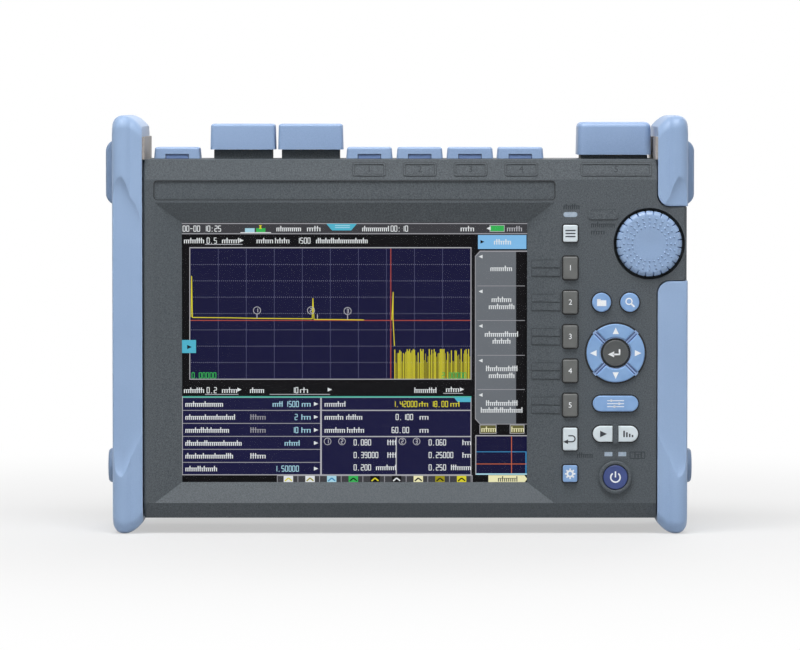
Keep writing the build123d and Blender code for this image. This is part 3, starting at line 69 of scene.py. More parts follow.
def make_camera():
    """The camera, square to the aim point, whose frame is 800 pixels wide at the front of the guards."""
    data = bpy.data.cameras.new("photo_camera")
    data.sensor_width = SENSOR_WIDTH
    data.lens = SENSOR_WIDTH * CAMERA_DISTANCE / (PHOTO_WIDTH / PIXELS_PER_MM * mm)
    data.clip_end = CAMERA_REACH
    camera = bpy.data.objects.new("photo_camera", data)
    camera.location = camera_place
    camera.rotation_euler = (math.pi / 2 - CAMERA_ELEVATION, 0, 0)
    bpy.context.scene.collection.objects.link(camera)
    bpy.context.scene.camera = camera


def on_photo(outline, y):
    """Points given in the photograph's pixels, carried to the upright plane at depth y in millimetres.

    A pixel stands at aim + right + up along the camera's own upright, and the ray from the camera through
    it is followed as far as that depth.
    """
    pixels = np.asarray(outline, dtype=float)
    scale = PIXELS_PER_MM / mm
    right = (pixels[:, 0] - PHOTO_WIDTH / 2) / scale
    up = (PHOTO_HEIGHT / 2 - pixels[:, 1]) / scale
    points = np.array(aim) + np.outer(right, (1, 0, 0)) + np.outer(up, camera_up)
    rays = points - np.array(camera_place)
    reach = (y * mm - camera_place.y) / rays[:, 1]
    hits = np.array(camera_place) + reach[:, None] * rays
    return hits[:, [0, 2]] / mm


# Shader maths
class Num:
    """A number that varies over a surface; sums and products with it add Math nodes."""

    def __init__(self, finish, socket):
        self.finish = finish
        self.socket = socket

    def math(self, operation, first, second):
        """A Math node of that operation on two values or links."""
        node = self.finish.node("ShaderNodeMath", {"operation": operation}, {0: first, 1: second})
        return Num(self.finish, node.outputs[0])

    def __add__(self, other):
        return self.math("ADD", self, other)

    def __mul__(self, other):
        return self.math("MULTIPLY", self, other)

    def __sub__(self, other):
        return self.math("SUBTRACT", self, other)

    def __rsub__(self, other):
        return self.math("SUBTRACT", other, self)

    __radd__ = __add__
    __rmul__ = __mul__


def srgb(red, green, blue):
    """A colour given in screen values from 0 to 255, as the linear values that shaders take."""
    values = np.array([red, green, blue]) / 255
    linear = np.where(values <= 0.04045, values / 12.92, ((values + 0.055) / 1.055) ** 2.4)
    return (*linear.tolist(), 1.0)


class Finish:
    """A material under construction: one Principled shader and the nodes that feed it."""

    def __init__(self, name, color, roughness=0.5, metallic=0.0, coat=0.0):
        self.material = bpy.data.materials.new(name)
        self.material.use_nodes = True
        self.tree = self.material.node_tree
        self.tree.nodes.clear()
        self.shader = self.tree.nodes.new("ShaderNodeBsdfPrincipled")
        self.output = self.tree.nodes.new("ShaderNodeOutputMaterial")
        self.tree.links.new(self.shader.outputs[0], self.output.inputs[0])
        self.set("Base Color", color)
        self.set("Roughness", roughness)
        self.set("Metallic", metallic)
        self.set("Coat Weight", coat)
        self.coordinates = self.node("ShaderNodeTexCoord").outputs["Object"]

    def set(self, socket, value):
        """Gives one socket of the shader a value or a link."""
        self.feed(self.shader.inputs[socket], value)

    def feed(self, socket, value):
        """Puts a plain value, a number that varies or another node's output into a socket."""
        if isinstance(value, Num):
            value = value.socket
        if isinstance(value, bpy.types.NodeSocket):
            self.tree.links.new(value, socket)
        else:
            socket.default_value = value

    def node(self, kind, settings=None, sockets=None):
        """Adds a node of that type: its settings first, then the values or links of its sockets."""
        node = self.tree.nodes.new(kind)
        for key, value in (settings or {}).items():
            if key == "stops":
                for i, (place, color) in enumerate(value):
                    stops = node.color_ramp.elements
                    stop = stops[i] if i < len(stops) else stops.new(place)
                    stop.position = place
                    stop.color = color
            else:
                setattr(node, key, value)
        for key, value in (sockets or {}).items():
            self.feed(node.inputs[key], value)
        return node

    def noise(self, scale, detail=2.0, stretch=None):
        """Noise from 0 to 1 on the object's own coordinates; scale is its features per metre."""
        place = self.coordinates
        if stretch:
            mapping = self.node("ShaderNodeMapping", {}, {"Vector": place, "Scale": stretch})
            place = mapping.outputs[0]
        node = self.node("ShaderNodeTexNoise", {}, {"Vector": place, "Scale": scale, "Detail": detail})
        return Num(self, node.outputs["Fac"])

    def cells(self, scale):
        """Distance to the nearest of scattered points, for pits and grains."""
        node = self.node("ShaderNodeTexVoronoi", {}, {"Vector": self.coordinates, "Scale": scale})
        return Num(self, node.outputs["Distance"])

    def steps(self, value, low, high, out_low=0.0, out_high=1.0):
        """Eases from out_low to out_high as value goes from low to high."""
        node = self.node(
            "ShaderNodeMapRange",
            {"interpolation_type": "SMOOTHSTEP"},
            {"Value": value, "From Min": low, "From Max": high, "To Min": out_low, "To Max": out_high},
        )
        return Num(self, node.outputs[0])

    def mix(self, factor, first, second):
        """A colour between two others."""
        node = self.node("ShaderNodeMix", {"data_type": "RGBA"}, {"Factor": factor, 6: first, 7: second})
        return node.outputs[2]

    def bump(self, height, distance, strength=1.0):
        """Raises the surface by that distance, in metres, where height is 1."""
        node = self.node("ShaderNodeBump", {}, {"Height": height, "Distance": distance, "Strength": strength})
        self.set("Normal", node.outputs[0])


# Finishes. The scale of a noise is its features per metre, and a bump's distance is in metres.
# Noise seldom leaves the stretch between these ends, so patterns are spread over one of them
NOISE_ENDS = 0.3, 0.7
FINE_ENDS = 0.35, 0.65


def shaded(color, share):
    """The same colour at that share of its light."""
    return tuple(channel * share for channel in color[:3]) + (1.0,)


def moulded(name, color, dark, light, grain, rough):
    """Moulded plastic or rubber: a mottled colour, a fine grain and cloudy roughness."""
    finish = Finish(name, color, rough)
    fine = finish.noise(grain, 3.0)
    cloud = finish.noise(18)
    shade = finish.steps(fine * 0.5 + cloud * 0.5, *FINE_ENDS)
    finish.set("Base Color", finish.mix(shade, dark, light))
    finish.set("Roughness", finish.steps(cloud, *NOISE_ENDS, rough - 0.05, rough + 0.05))
    finish.bump(fine, 0.00003)
    return finish.material


def case_finish():
    """Dark spark-eroded plastic: pale and dark speckles over grey, and a pitted surface."""
    finish = Finish("case_grey", srgb(86, 94, 101), 0.62)
    finish.shader.inputs["Specular IOR Level"].default_value = 0.35
    speckle = finish.noise(3000)
    coarse = finish.noise(1300)
    cloud = finish.noise(9)
    shade = finish.steps(speckle * 0.65 + coarse * 0.35, 0.36, 0.64)
    base = finish.mix(shade, srgb(60, 66, 71), srgb(92, 98, 103))
    cloudy = finish.mix(finish.steps(cloud, *NOISE_ENDS, 0.0, 0.25), base, srgb(68, 76, 82))
    finish.set("Base Color", cloudy)
    finish.set("Roughness", finish.steps(coarse, *NOISE_ENDS, 0.55, 0.70))
    finish.bump(speckle * 0.6 + coarse * 0.4, 0.00008, 0.8)
    return finish.material


GUARD_COLORS = (137, 162, 197), (147, 172, 206)


def guard_finish(name="guard_blue", tone=1.0):
    """Soft blue elastomer with a very fine grain and a faint bloom of dust; where tone is below 1 the whole
    colour is darkened as painted shade.
    """
    finish = Finish(name, srgb(152, 180, 218), 0.50)
    finish.shader.inputs["Sheen Weight"].default_value = 0.12
    finish.shader.inputs["Sheen Roughness"].default_value = 0.4
    fine = finish.noise(2600)
    cloud = finish.noise(14, 3.0)
    shade = finish.steps(cloud * 0.7 + fine * 0.3, *FINE_ENDS)
    dark, light = (shaded(srgb(*color), tone) for color in GUARD_COLORS)
    finish.set("Base Color", finish.mix(shade, dark, light))
    finish.set("Roughness", finish.steps(cloud, *NOISE_ENDS, 0.46, 0.55))
    finish.bump(fine, 0.00002)
    return finish.material


def key_finish(name, color, dark, rough=0.38):
    """A satin keytop with a faint mould grain and slightly rubbed middle."""
    finish = Finish(name, color, rough)
    grain = finish.noise(3200)
    cloud = finish.noise(160)
    finish.set("Base Color", finish.mix(finish.steps(cloud, *NOISE_ENDS), dark, color))
    finish.set("Roughness", finish.steps(cloud, *NOISE_ENDS, rough - 0.05, rough + 0.07))
    finish.bump(grain, 0.000015)
    return finish.material


def metal_finish(name, color, rough, stretch, streak=600):
    """Rolled or turned metal: fine streaks along one direction in colour and roughness."""
    finish = Finish(name, color, rough, 1.0)
    lines = finish.noise(streak, 3.0, stretch)
    finish.set("Base Color", finish.mix(finish.steps(lines, *NOISE_ENDS), shaded(color, 0.8), color))
    finish.set("Roughness", finish.steps(lines, *NOISE_ENDS, rough - 0.08, rough + 0.1))
    finish.bump(lines, 0.00001)
    return finish.material


def board_finish():
    """Green solder mask with copper planes under it and a faint weave."""
    finish = Finish("board_green", srgb(28, 92, 58), 0.35, coat=0.3)
    plane = finish.cells(160)
    weave = finish.noise(1800)
    finish.set("Base Color", finish.mix(finish.steps(plane, 0.3, 0.6), srgb(30, 104, 64), srgb(20, 74, 46)))
    finish.bump(weave, 0.00001)
    return finish.material


def glass_finish():
    """Thin hard-coated window, nearly clear, with a soft gloss and faint wiping marks."""
    finish = Finish("screen_glass", (0.02, 0.02, 0.022, 1), 0.12)
    finish.shader.inputs["Specular IOR Level"].default_value = 0.25
    smear = finish.noise(30, 3.0, (1.0, 1.0, 3.0))
    finish.set("Roughness", finish.steps(smear, 0.35, 0.7, 0.10, 0.22))
    finish.set("Alpha", finish.steps(smear, *NOISE_ENDS, 0.03, 0.05))
    return finish.material


def lamp_finish():
    """Clear grey-blue moulded window over an indicator."""
    finish = Finish("window_grey", srgb(154, 170, 187), 0.18, coat=0.5)
    haze = finish.noise(700)
    shade = finish.steps(haze, *NOISE_ENDS)
    finish.set("Base Color", finish.mix(shade, srgb(146, 163, 181), srgb(163, 178, 194)))
    finish.bump(haze, 0.00001)
    return finish.material


def ink_and_painted_shade(name, color, rough=0.5):
    """Printed ink with a slightly uneven tone; the same flat finish also makes the dark lines and plates of
    painted shadow and shade in gaps, along edges and in notches.
    """
    finish = Finish(name, color, rough)
    tone = finish.noise(2400)
    finish.set("Base Color", finish.mix(finish.steps(tone, *NOISE_ENDS), shaded(color, 0.9), color))
    return finish.material


# Columns of the display, drawn about two pitches apart; at scale 1 a band texture repeats every BAND_LENGTH
LCD_PITCH = 0.213 * mm
COLUMN_STEP = 2.042
BAND_LENGTH = 2 * math.pi / 20


def lit(name, color):
    """A lit area of the screen: the colour is given out, with the faint columns of the pixels over it."""
    finish = Finish(name, (0.004, 0.004, 0.005, 1), 0.35)
    finish.shader.inputs["Specular IOR Level"].default_value = 0.05
    column = finish.node(
        "ShaderNodeTexWave",
        {"wave_type": "BANDS", "bands_direction": "X"},
        {"Vector": finish.coordinates, "Scale": BAND_LENGTH / (COLUMN_STEP * LCD_PITCH)},
    )
    mesh = finish.steps(Num(finish, column.outputs["Fac"]), 0.0, 1.0)
    finish.set("Emission Color", finish.mix(mesh, shaded(color, 0.93), color))
    finish.set("Emission Strength", 1.0)
    return finish.material


finishes = {
    "case_grey": case_finish(),
    "guard_blue": guard_finish(),
    "cover_blue": moulded(
        "cover_blue", srgb(143, 168, 205), srgb(138, 163, 200), srgb(149, 174, 210), 2200, 0.45
    ),
    "dial_blue": moulded(
        "dial_blue", srgb(140, 165, 199), srgb(135, 160, 195), srgb(146, 171, 204), 2400, 0.33
    ),
    "rib_blue": key_finish("rib_blue", srgb(146, 172, 210), srgb(139, 165, 205)),
    "arrow_blue": key_finish("arrow_blue", srgb(132, 168, 212), srgb(124, 160, 206)),
    "key_blue": key_finish("key_blue", srgb(132, 168, 214), srgb(123, 160, 208)),
    "key_white": key_finish("key_white", srgb(212, 222, 227), srgb(203, 214, 220)),
    "key_grey": key_finish("key_grey", srgb(99, 101, 100), srgb(91, 93, 92)),
    "key_dark": key_finish("key_dark", srgb(76, 79, 80), srgb(69, 72, 73)),
    "key_indigo": key_finish("key_indigo", srgb(56, 72, 128), srgb(50, 66, 120)),
    "liner_grey": moulded(
        "liner_grey", srgb(162, 156, 152), srgb(156, 150, 146), srgb(168, 162, 158), 900, 0.6
    ),
    "window_grey": lamp_finish(),
    "screen_glass": glass_finish(),
    "panel_black": moulded(
        "panel_black", srgb(28, 28, 31), srgb(24, 24, 27), srgb(34, 34, 38), 1200, 0.5
    ),
    "seal_black": moulded(
        "seal_black", srgb(22, 22, 24), srgb(18, 18, 20), srgb(28, 28, 30), 900, 0.7
    ),
    "board_green": board_finish(),
    "sheet_metal": metal_finish("sheet_metal", srgb(205, 206, 208), 0.32, (1.0, 1.0, 0.05)),
    "steel": metal_finish("steel", srgb(190, 190, 192), 0.28, (0.2, 1.0, 1.0), 900),
    "brass": metal_finish("brass", srgb(214, 180, 110), 0.25, (1.0, 1.0, 0.1), 900),
}


def dress_nodes():
    """Every CAD node takes the finish of its material slot."""
    for part in frame["record"]["subparts"]:
        mesh = nodes[part["node"]].data
        if not mesh.materials:
            mesh.materials.append(None)
        for i in range(len(mesh.materials)):
            mesh.materials[i] = finishes[part["material_slot"]]


# Places from the frame, in millimetres
def span(*names):
    """Lowest and highest corner of one or more CAD nodes at rest, in millimetres."""
    boxes = [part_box(name) for name in names]
    low = np.min([list(box[0]) for box in boxes], axis=0) / mm
    high = np.max([list(box[1]) for box in boxes], axis=0) / mm
    return low, high


def middle_of(name):
    """Centre of a CAD node in x and z, and the depth of its front, in millimetres."""
    low, high = span(name)
    return (low[0] + high[0]) / 2, (low[2] + high[2]) / 2, low[1]


# Meshes from numbers
SMOOTH_ANGLE = math.radians(32)


def add_mesh(name, points, faces, materials, body, smooth=True, tags=None):
    """Makes a piece from an array of points in millimetres and a list of faces, and puts it on its body."""
    mesh = bpy.data.meshes.new(name)
    metres = np.asarray(points, dtype=float).reshape(-1, 3) * mm
    faces = faces.tolist() if isinstance(faces, np.ndarray) else faces
    mesh.from_pydata(metres.tolist(), [], faces)
    for material in materials:
        mesh.materials.append(material)
    if tags is not None:
        mesh.polygons.foreach_set("material_index", np.asarray(tags, dtype=np.int32))
    mesh.polygons.foreach_set("use_smooth", np.full(len(mesh.polygons), smooth))
    if smooth:
        mesh.set_sharp_from_angle(angle=SMOOTH_ANGLE)
    mesh.update()
    piece = bpy.data.objects.new(name, mesh)
    bpy.context.scene.collection.objects.link(piece)
    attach(piece, body)
    return piece


def grid_faces(rows, columns, close_columns=False):
    """Quads between the points of a grid with that many rows and columns."""
    i = np.arange(rows - 1)
    j = np.arange(columns if close_columns else columns - 1)
    i, j = np.meshgrid(i, j, indexing="ij")
    right = (j + 1) % columns
    below = i + 1
    quads = np.stack([i * columns + j, i * columns + right, below * columns + right, below * columns + j])
    return quads.reshape(4, -1).T


def join(blocks):
    """Several (points, faces) pairs as one array of points and one list of faces."""
    points, faces, start = [], [], 0
    for block_points, block_faces in blocks:
        points.append(np.asarray(block_points, dtype=float).reshape(-1, 3))
        faces += [[start + i for i in face] for face in block_faces]
        start += len(points[-1])
    return np.concatenate(points), faces


def eased(value, low, high):
    """0 below low, 1 above high, and the smooth step 3t^2 - 2t^3 between them."""
    t = np.clip((value - low) / (high - low), 0, 1)
    return t * t * (3 - 2 * t)


def soft_max(first, second, width):
    """The larger of two fields, with their crease rounded over that width."""
    gap = np.clip(0.5 + (first - second) / (2 * width), 0, 1)
    return second * (1 - gap) + first * gap + width * gap * (1 - gap)


def soft_min(first, second, width):
    """The smaller of two fields, with their crease rounded over that width."""
    return -soft_max(-first, -second, width)


# Guards: rubber ends with a roll, a valley, an inner strip and a scooped middle
ROLL_CENTRE = 5.3
ROLL_DEPTH = 4.8
STRIP_CENTRE = 10.8
STRIP_SET = 1.35
STRIP_CURVE = 0.046
VALLEY_SOFT = 0.5
SCOOP_DEPTH = 2.6
SCOOP_EASE = 4.2
SCOOP_SOFT = 0.07
SCOOP_TIP_LOW = 28.6
SCOOP_TIP_DROP = 30.2
SCOOP_CENTRE = 4.8
SCOOP_FALL = 1.6
END_CORNER = 5.4
END_SLOPE = 0.07
END_SLOPE_FROM = 6.0
END_ROLL = 6.5
NOTCH_CORNER = 6.2
NOTCH_ROLL = 0.7
GUARD_WIDTH = 15.0
GUARD_COLUMNS = 52
ROW_STEP = 0.5
ROW_CROWDING = 0.25
CHEEK_HALF = 18.2
NOTCH_GAP = 0.4

left_low, left_high = span("guard_left")
guard_inner = -span("rear_case")[0][0]
guard_outer = guard_inner + GUARD_WIDTH
guard_reach = -left_low[0] - guard_outer
guard_front, guard_back, guard_top = left_low[1], left_high[1], left_high[2]
split_depth = span("dial_housing")[1][1]
dial_x, dial_z, dial_front = middle_of("dial_knob")
notch_low, notch_high = dial_z - CHEEK_HALF - NOTCH_GAP, dial_z + CHEEK_HALF + NOTCH_GAP


def end_drop(u):
    """How far a guard's end lies short of its full height at u from the outside.

    A quarter circle of radius END_CORNER at the outer edge, and END_SLOPE times the square of the
    distance past END_SLOPE_FROM towards the inner edge.
    """
    outer = np.clip(END_CORNER - u, 0, END_CORNER)
    inner = np.clip(u - END_SLOPE_FROM, 0, None)
    return END_CORNER - np.sqrt(END_CORNER ** 2 - outer ** 2) + END_SLOPE * inner ** 2


def guard_end(u):
    """Height of a guard's upper end: the full height less the drop."""
    return guard_top - end_drop(u)


def notch_drop(u):
    """How far a guard's cut end at the dial lies back from the straight cut: a corner at the inner edge."""
    reach = np.clip(u - (GUARD_WIDTH - NOTCH_CORNER), 0, NOTCH_CORNER)
    return NOTCH_CORNER - np.sqrt(NOTCH_CORNER ** 2 - reach ** 2)


def cut_above(u):
    """Height of the cut over the dial."""
    return notch_high + notch_drop(u)


def cut_below(u):
    """Height of the cut under the dial."""
    return notch_low - notch_drop(u)


def edge_fall(distance, radius):
    """Depth of a rounded edge at a distance inside it: R minus the root of R^2 - (R - d)^2."""
    inside = np.clip(radius - distance, 0, radius)
    return radius - np.sqrt(radius ** 2 - inside ** 2)


def front_depth(u, z):
    """Depth of a guard's front behind its foremost line, at u from the outside and height z.

    The roll is half an ellipse, the strip a shallow parabola, and the smaller of both wins. The scoop
    falls off from each tongue's tip as D(1 - exp(-t / E)), and the larger of it and the roll wins. Towards
    the inner edge the tip draws back by SCOOP_FALL times the distance past SCOOP_CENTRE.
    """
    roll = ROLL_DEPTH * (1 - np.sqrt(np.clip(1 - ((u - ROLL_CENTRE) / ROLL_CENTRE) ** 2, 0, 1)))
    strip = STRIP_SET + STRIP_CURVE * (u - STRIP_CENTRE) ** 2
    plan = np.where(u < ROLL_CENTRE, roll, soft_min(roll, strip, VALLEY_SOFT))
    inward = np.minimum(z - SCOOP_TIP_LOW, guard_top - SCOOP_TIP_DROP - z)
    inward = inward - SCOOP_FALL * np.clip(u - SCOOP_CENTRE, 0, None)
    scoop = SCOOP_DEPTH * (1 - np.exp(-inward / SCOOP_EASE))
    scoop = np.where(inward > 0, scoop, inward)
    return soft_max(plan, scoop, SCOOP_SOFT)


def back_depth(u, z):
    """Depth of a guard's plain back in front of its rearmost plane: the same roll at the outer edge."""
    return edge_fall(u, ROLL_DEPTH)


def guard_block(low, high, low_roll, high_roll, front, back, front_shape, back_shape):
    """A closed block of guard: front and back grids whose rims are joined by straight walls.

    low and high are functions of u that give the lower and upper ends. A face with a shape has that
    shape's depth and both ends rounded with their own radii, and a face without one is flat.
    """
    u = GUARD_WIDTH * (1 - np.cos(np.linspace(0, math.pi, GUARD_COLUMNS))) / 2
    z_low, z_high = low(u), high(u)
    rows = int(np.max(z_high - z_low) / ROW_STEP)
    t = np.linspace(0, 1, rows)[:, None]
    eased_t = 0.5 - 0.5 * np.cos(math.pi * t)
    t = (1 - ROW_CROWDING) * t + ROW_CROWDING * eased_t
    z = z_low + t * (z_high - z_low)
    u = np.broadcast_to(u, z.shape)
    grids = []
    for plane, shape, sign in ((front, front_shape, 1), (back, back_shape, -1)):
        if shape is None:
            y = np.full(z.shape, plane)
        else:
            ends = edge_fall(z - z_low, low_roll) + edge_fall(z_high - z, high_roll)
            y = plane + sign * (shape(u, z) + ends)
        grids.append(np.stack([guard_outer - u, y, z], axis=-1))
    faces = grid_faces(rows, GUARD_COLUMNS)
    count = rows * GUARD_COLUMNS
    index = np.arange(count).reshape(rows, GUARD_COLUMNS)
    rim = np.concatenate([index[0, :-1], index[:-1, -1], index[-1, :0:-1], index[:0:-1, 0]])
    following = np.roll(rim, -1)
    walls = np.column_stack([rim, rim + count, following + count, following])
    all_faces = np.concatenate([faces[:, ::-1], faces + count, walls[:, ::-1]]).tolist()
    return np.concatenate([g.reshape(-1, 3) for g in grids]), all_faces


RIB_COUNT = 9
RIB_PITCH = 11.5
RIB_LOW = 55.2
RIB_HALF_LENGTH = 23.0
RIB_HALF_WIDTH = 1.6
RIB_PROUD = 0.75
RIB_SINK = 0.05
RIB_FADE = 8
RIB_STEPS = 9, 25


def grip_ribs(notched):
    """Ridges along the side: half an ellipse of v across, times 1 - w^RIB_FADE from end to end.

    Beside the dial's notch a ridge starts behind the cut.
    """
    blocks = []
    v = np.linspace(-1, 1, RIB_STEPS[0])
    w = np.sin(np.linspace(-math.pi / 2, math.pi / 2, RIB_STEPS[1]))
    v, w = np.meshgrid(v, w, indexing="ij")
    height = RIB_PROUD * np.sqrt(np.clip(1 - v ** 2, 0, 1)) * np.clip(1 - w ** RIB_FADE, 0, 1)
    for i in range(RIB_COUNT):
        z = RIB_LOW + i * RIB_PITCH
        cut = notched and notch_low - RIB_HALF_WIDTH < z < notch_high + RIB_HALF_WIDTH
        start = split_depth + RIB_HALF_WIDTH if cut else -RIB_HALF_LENGTH
        y = start + (w + 1) / 2 * (RIB_HALF_LENGTH - start)
        points = np.stack([guard_outer + height - RIB_SINK, y, z + v * RIB_HALF_WIDTH], axis=-1)
        blocks.append((points, grid_faces(*v.shape).tolist()))
    return blocks


LUG_CORNER = 6.0
LUG_WALL = 1.6
LUG_EDGE = 1.4
LUG_ROOT = 0.6
LUG_HEIGHT = 33.2
LUG_DROP = 12.3
LUG_DEPTH = 34.0
LUG_BACK_INSET = 4.0
LUG_END_WALL = 5.0
LUG_EDGE_LEAST = 0.05
LUG_CORNER_STEPS = 14
LUG_EDGE_STEPS = 6
# Share of the guard's colour left on the lug and boss: painted shade for their set-back place
LUG_SHADE_SHARE = 0.7


def strap_lug():
    """The loop for the strap: a C-shaped section carried up the guard, whose reach follows its corners.

    At height z the reach is the full one less a corner of radius LUG_CORNER, and the section runs out
    along the front, back along the rear, and returns round the slot at one wall's thickness inside.
    """
    z_high = guard_top - LUG_DROP
    z_low = z_high - LUG_HEIGHT
    y_back = guard_back - LUG_BACK_INSET
    y_front = y_back - LUG_DEPTH
    turn = np.linspace(0, math.pi / 2, LUG_CORNER_STEPS)
    drop = LUG_CORNER * (1 - np.sin(turn))
    rise = LUG_CORNER * (1 - np.cos(turn))
    z = np.concatenate([z_low + rise, z_high - rise[::-1]])
    out = np.concatenate([guard_reach - drop, guard_reach - drop[::-1]])
    quarter = np.linspace(0, math.pi / 2, LUG_EDGE_STEPS)
    rows = []
    for height, far in zip(z, out):
        edge = min(LUG_EDGE, max(far, LUG_EDGE_LEAST))
        inner = max(far - LUG_WALL, -LUG_ROOT / 2)
        round_x = far - edge + edge * np.sin(quarter)
        round_y = edge * (1 - np.cos(quarter))
        section = [(-LUG_ROOT, y_front)]
        section += list(zip(round_x, y_front + round_y)) + list(zip(round_x[::-1], y_back - round_y[::-1]))
        section += [(-LUG_ROOT, y_back), (-LUG_ROOT, y_back - LUG_END_WALL), (inner, y_back - LUG_END_WALL)]
        section += [(inner, y_front + LUG_END_WALL), (-LUG_ROOT, y_front + LUG_END_WALL)]
        rows.append([(guard_outer + x, y, height) for x, y in section])
    points = np.array(rows)
    count = points.shape[1]
    faces = grid_faces(len(z), count, close_columns=True).tolist()
    faces.append(list(range(count))[::-1])
    faces.append([(len(z) - 1) * count + i for i in range(count)])
    return points, faces


BOSS_RADIUS = 8.7
BOSS_EDGE = 1.8
BOSS_EDGE_STEPS = 8
BOSS_SHY = 0.3
BOSS_ROOT = 1.0
BOSS_BORE = 3.4
BOSS_BORE_EDGE = 0.4
BOSS_SINK = 3.0
BOSS_Z = 30.3
BOSS_BACK_INSET = 21.0
AXIS_RADIUS = 0.01


def turned(profile, turns=64):
    """A closed turned form about the x axis: the profile's (reach, radius) points go once round."""
    profile = np.asarray(profile)
    angle = np.linspace(0, 2 * math.pi, turns, endpoint=False)
    x = np.repeat(profile[:, :1], turns, axis=1)
    y = profile[:, 1:] * np.cos(angle)
    z = profile[:, 1:] * np.sin(angle)
    return np.stack([x, y, z], axis=-1), grid_faces(len(profile), turns, close_columns=True).tolist()


def side_boss():
    """The round boss over the guard's screw: a cylinder with a rolled edge and a sunk bore."""
    reach = guard_reach - BOSS_SHY
    quarter = np.linspace(0, math.pi / 2, BOSS_EDGE_STEPS)
    rolled = np.column_stack(
        [reach - BOSS_EDGE + BOSS_EDGE * np.sin(quarter), BOSS_RADIUS - BOSS_EDGE * (1 - np.cos(quarter))]
    )
    bore = [
        (reach, BOSS_BORE + BOSS_BORE_EDGE), (reach - BOSS_BORE_EDGE, BOSS_BORE),
        (reach - BOSS_SINK, BOSS_BORE), (reach - BOSS_SINK, AXIS_RADIUS),
    ]
    profile = np.concatenate([[(-BOSS_ROOT, BOSS_RADIUS)], rolled, bore])
    points, faces = turned(profile)
    place = np.array([guard_outer, guard_back - BOSS_BACK_INSET, BOSS_Z])
    return points + place, faces


def make_guards():
    """Both guards with their lugs, bosses and ribs; the right one is cut away round the dial."""
    front, back = guard_front, guard_back
    whole = guard_block(end_drop, guard_end, END_ROLL, END_ROLL, front, back, front_depth, back_depth)
    upper = guard_block(cut_above, guard_end, NOTCH_ROLL, END_ROLL, front, split_depth, front_depth, None)
    lower = guard_block(end_drop, cut_below, END_ROLL, NOTCH_ROLL, front, split_depth, front_depth, None)
    rear = guard_block(end_drop, guard_end, ROLL_DEPTH, ROLL_DEPTH, split_depth, back, None, back_depth)
    extras = [strap_lug(), side_boss()]
    for side, walls in ((-1, [whole]), (1, [upper, lower, rear])):
        blocks = walls + grip_ribs(side > 0) + extras
        points, faces = join(blocks)
        if side < 0:
            points = points * [-1, 1, 1]
            faces = [face[::-1] for face in faces]
        # The lug and boss take a darker copy of the guard's blue: painted shade, as they sit back in shadow
        tags = np.zeros(len(faces), dtype=np.int32)
        tags[len(faces) - sum(len(block[1]) for block in extras):] = 1
        end = "left" if side < 0 else "right"
        materials = [finishes["guard_blue"], guard_finish("guard_lug_painted_shade", LUG_SHADE_SHARE)]
        skin = add_mesh("guard_skin_" + end, points, faces, materials, "root", tags=tags)
        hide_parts("guard_" + end)


# Dial: a dished face, three rings of grip dots, a rolled rim and notches
DIAL_RADIUS = 16.3
DIAL_RIM = 2.6
DISH_RADIUS = 7.9
DISH_DEPTH = 0.35
DOT_RINGS = (12.75, 10.7, 8.7)
DOT_RADIUS = 0.58
DOT_PROUD = 0.62
DIAL_COUNT = 24
NOTCH_HALF = 0.40
NOTCH_DEPTH = 1.1
NOTCH_FROM = 13.9
NOTCH_RUN = 0.8
# Depths between which a notch turns from a cut into the face to a cut into the side
NOTCH_SIDE = 0.3, 2.0
NOTCH_FACE = 1.0, 2.6
FACE_RINGS = 110
RIM_RINGS = 16
SIDE_RINGS = 6
STEPS_PER_NOTCH = 22


def make_dial():
    """The dial's front and side as one surface of radius and angle.

    Depth is a shallow dish, a flat ring and a quarter-round rim. Each dot adds P(1 - d^2 / R^2)^2 at
    distance d from its centre, and each notch takes a V whose depth grows towards the edge.
    """
    low, high = span("dial_knob")
    face_radii = np.linspace(AXIS_RADIUS, DIAL_RADIUS - DIAL_RIM, FACE_RINGS)
    turn = np.linspace(0, math.pi / 2, RIM_RINGS)[1:]
    rim_radii = DIAL_RADIUS - DIAL_RIM + DIAL_RIM * np.sin(turn)
    rim_depths = DIAL_RIM * (1 - np.cos(turn))
    dish = DISH_DEPTH * (1 - eased(face_radii, 0, DISH_RADIUS))
    side_depths = np.linspace(DIAL_RIM, high[1] - low[1], SIDE_RINGS)[1:]
    radii = np.concatenate([face_radii, rim_radii, np.full(len(side_depths), DIAL_RADIUS)])
    depths = np.concatenate([dish, rim_depths, side_depths])
    turns = DIAL_COUNT * STEPS_PER_NOTCH
    angle = np.linspace(0, 2 * math.pi, turns, endpoint=False)
    radius, theta = np.meshgrid(radii, angle, indexing="ij")
    depth = np.repeat(depths[:, None], turns, axis=1)
    step = 2 * math.pi / DIAL_COUNT
    offset = (theta + step / 2) % step - step / 2
    for ring in DOT_RINGS:
        across, along = radius * np.sin(offset), radius * np.cos(offset) - ring
        squared = np.clip(1 - (across ** 2 + along ** 2) / DOT_RADIUS ** 2, 0, 1)
        depth -= DOT_PROUD * squared ** 2
    middle = (theta % step) - step / 2
    groove = np.clip(1 - np.abs(radius * middle) / NOTCH_HALF, 0, 1)
    bite = NOTCH_DEPTH * groove * eased(radius, NOTCH_FROM, NOTCH_FROM + NOTCH_RUN)
    radius = radius - bite * eased(depth, *NOTCH_SIDE)
    depth = depth + bite * (1 - eased(depth, *NOTCH_FACE))
    points = np.stack([dial_x + radius * np.cos(theta), low[1] + depth, dial_z + radius * np.sin(theta)], -1)
    faces = grid_faces(len(radii), turns, close_columns=True).tolist()
    last = (len(radii) - 1) * turns
    faces.append(list(range(turns))[::-1])
    faces.append([last + i for i in range(turns)])
    dial = add_mesh("dial_grip", points, faces, [finishes["dial_blue"]], "dial")
    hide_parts("dial_knob")


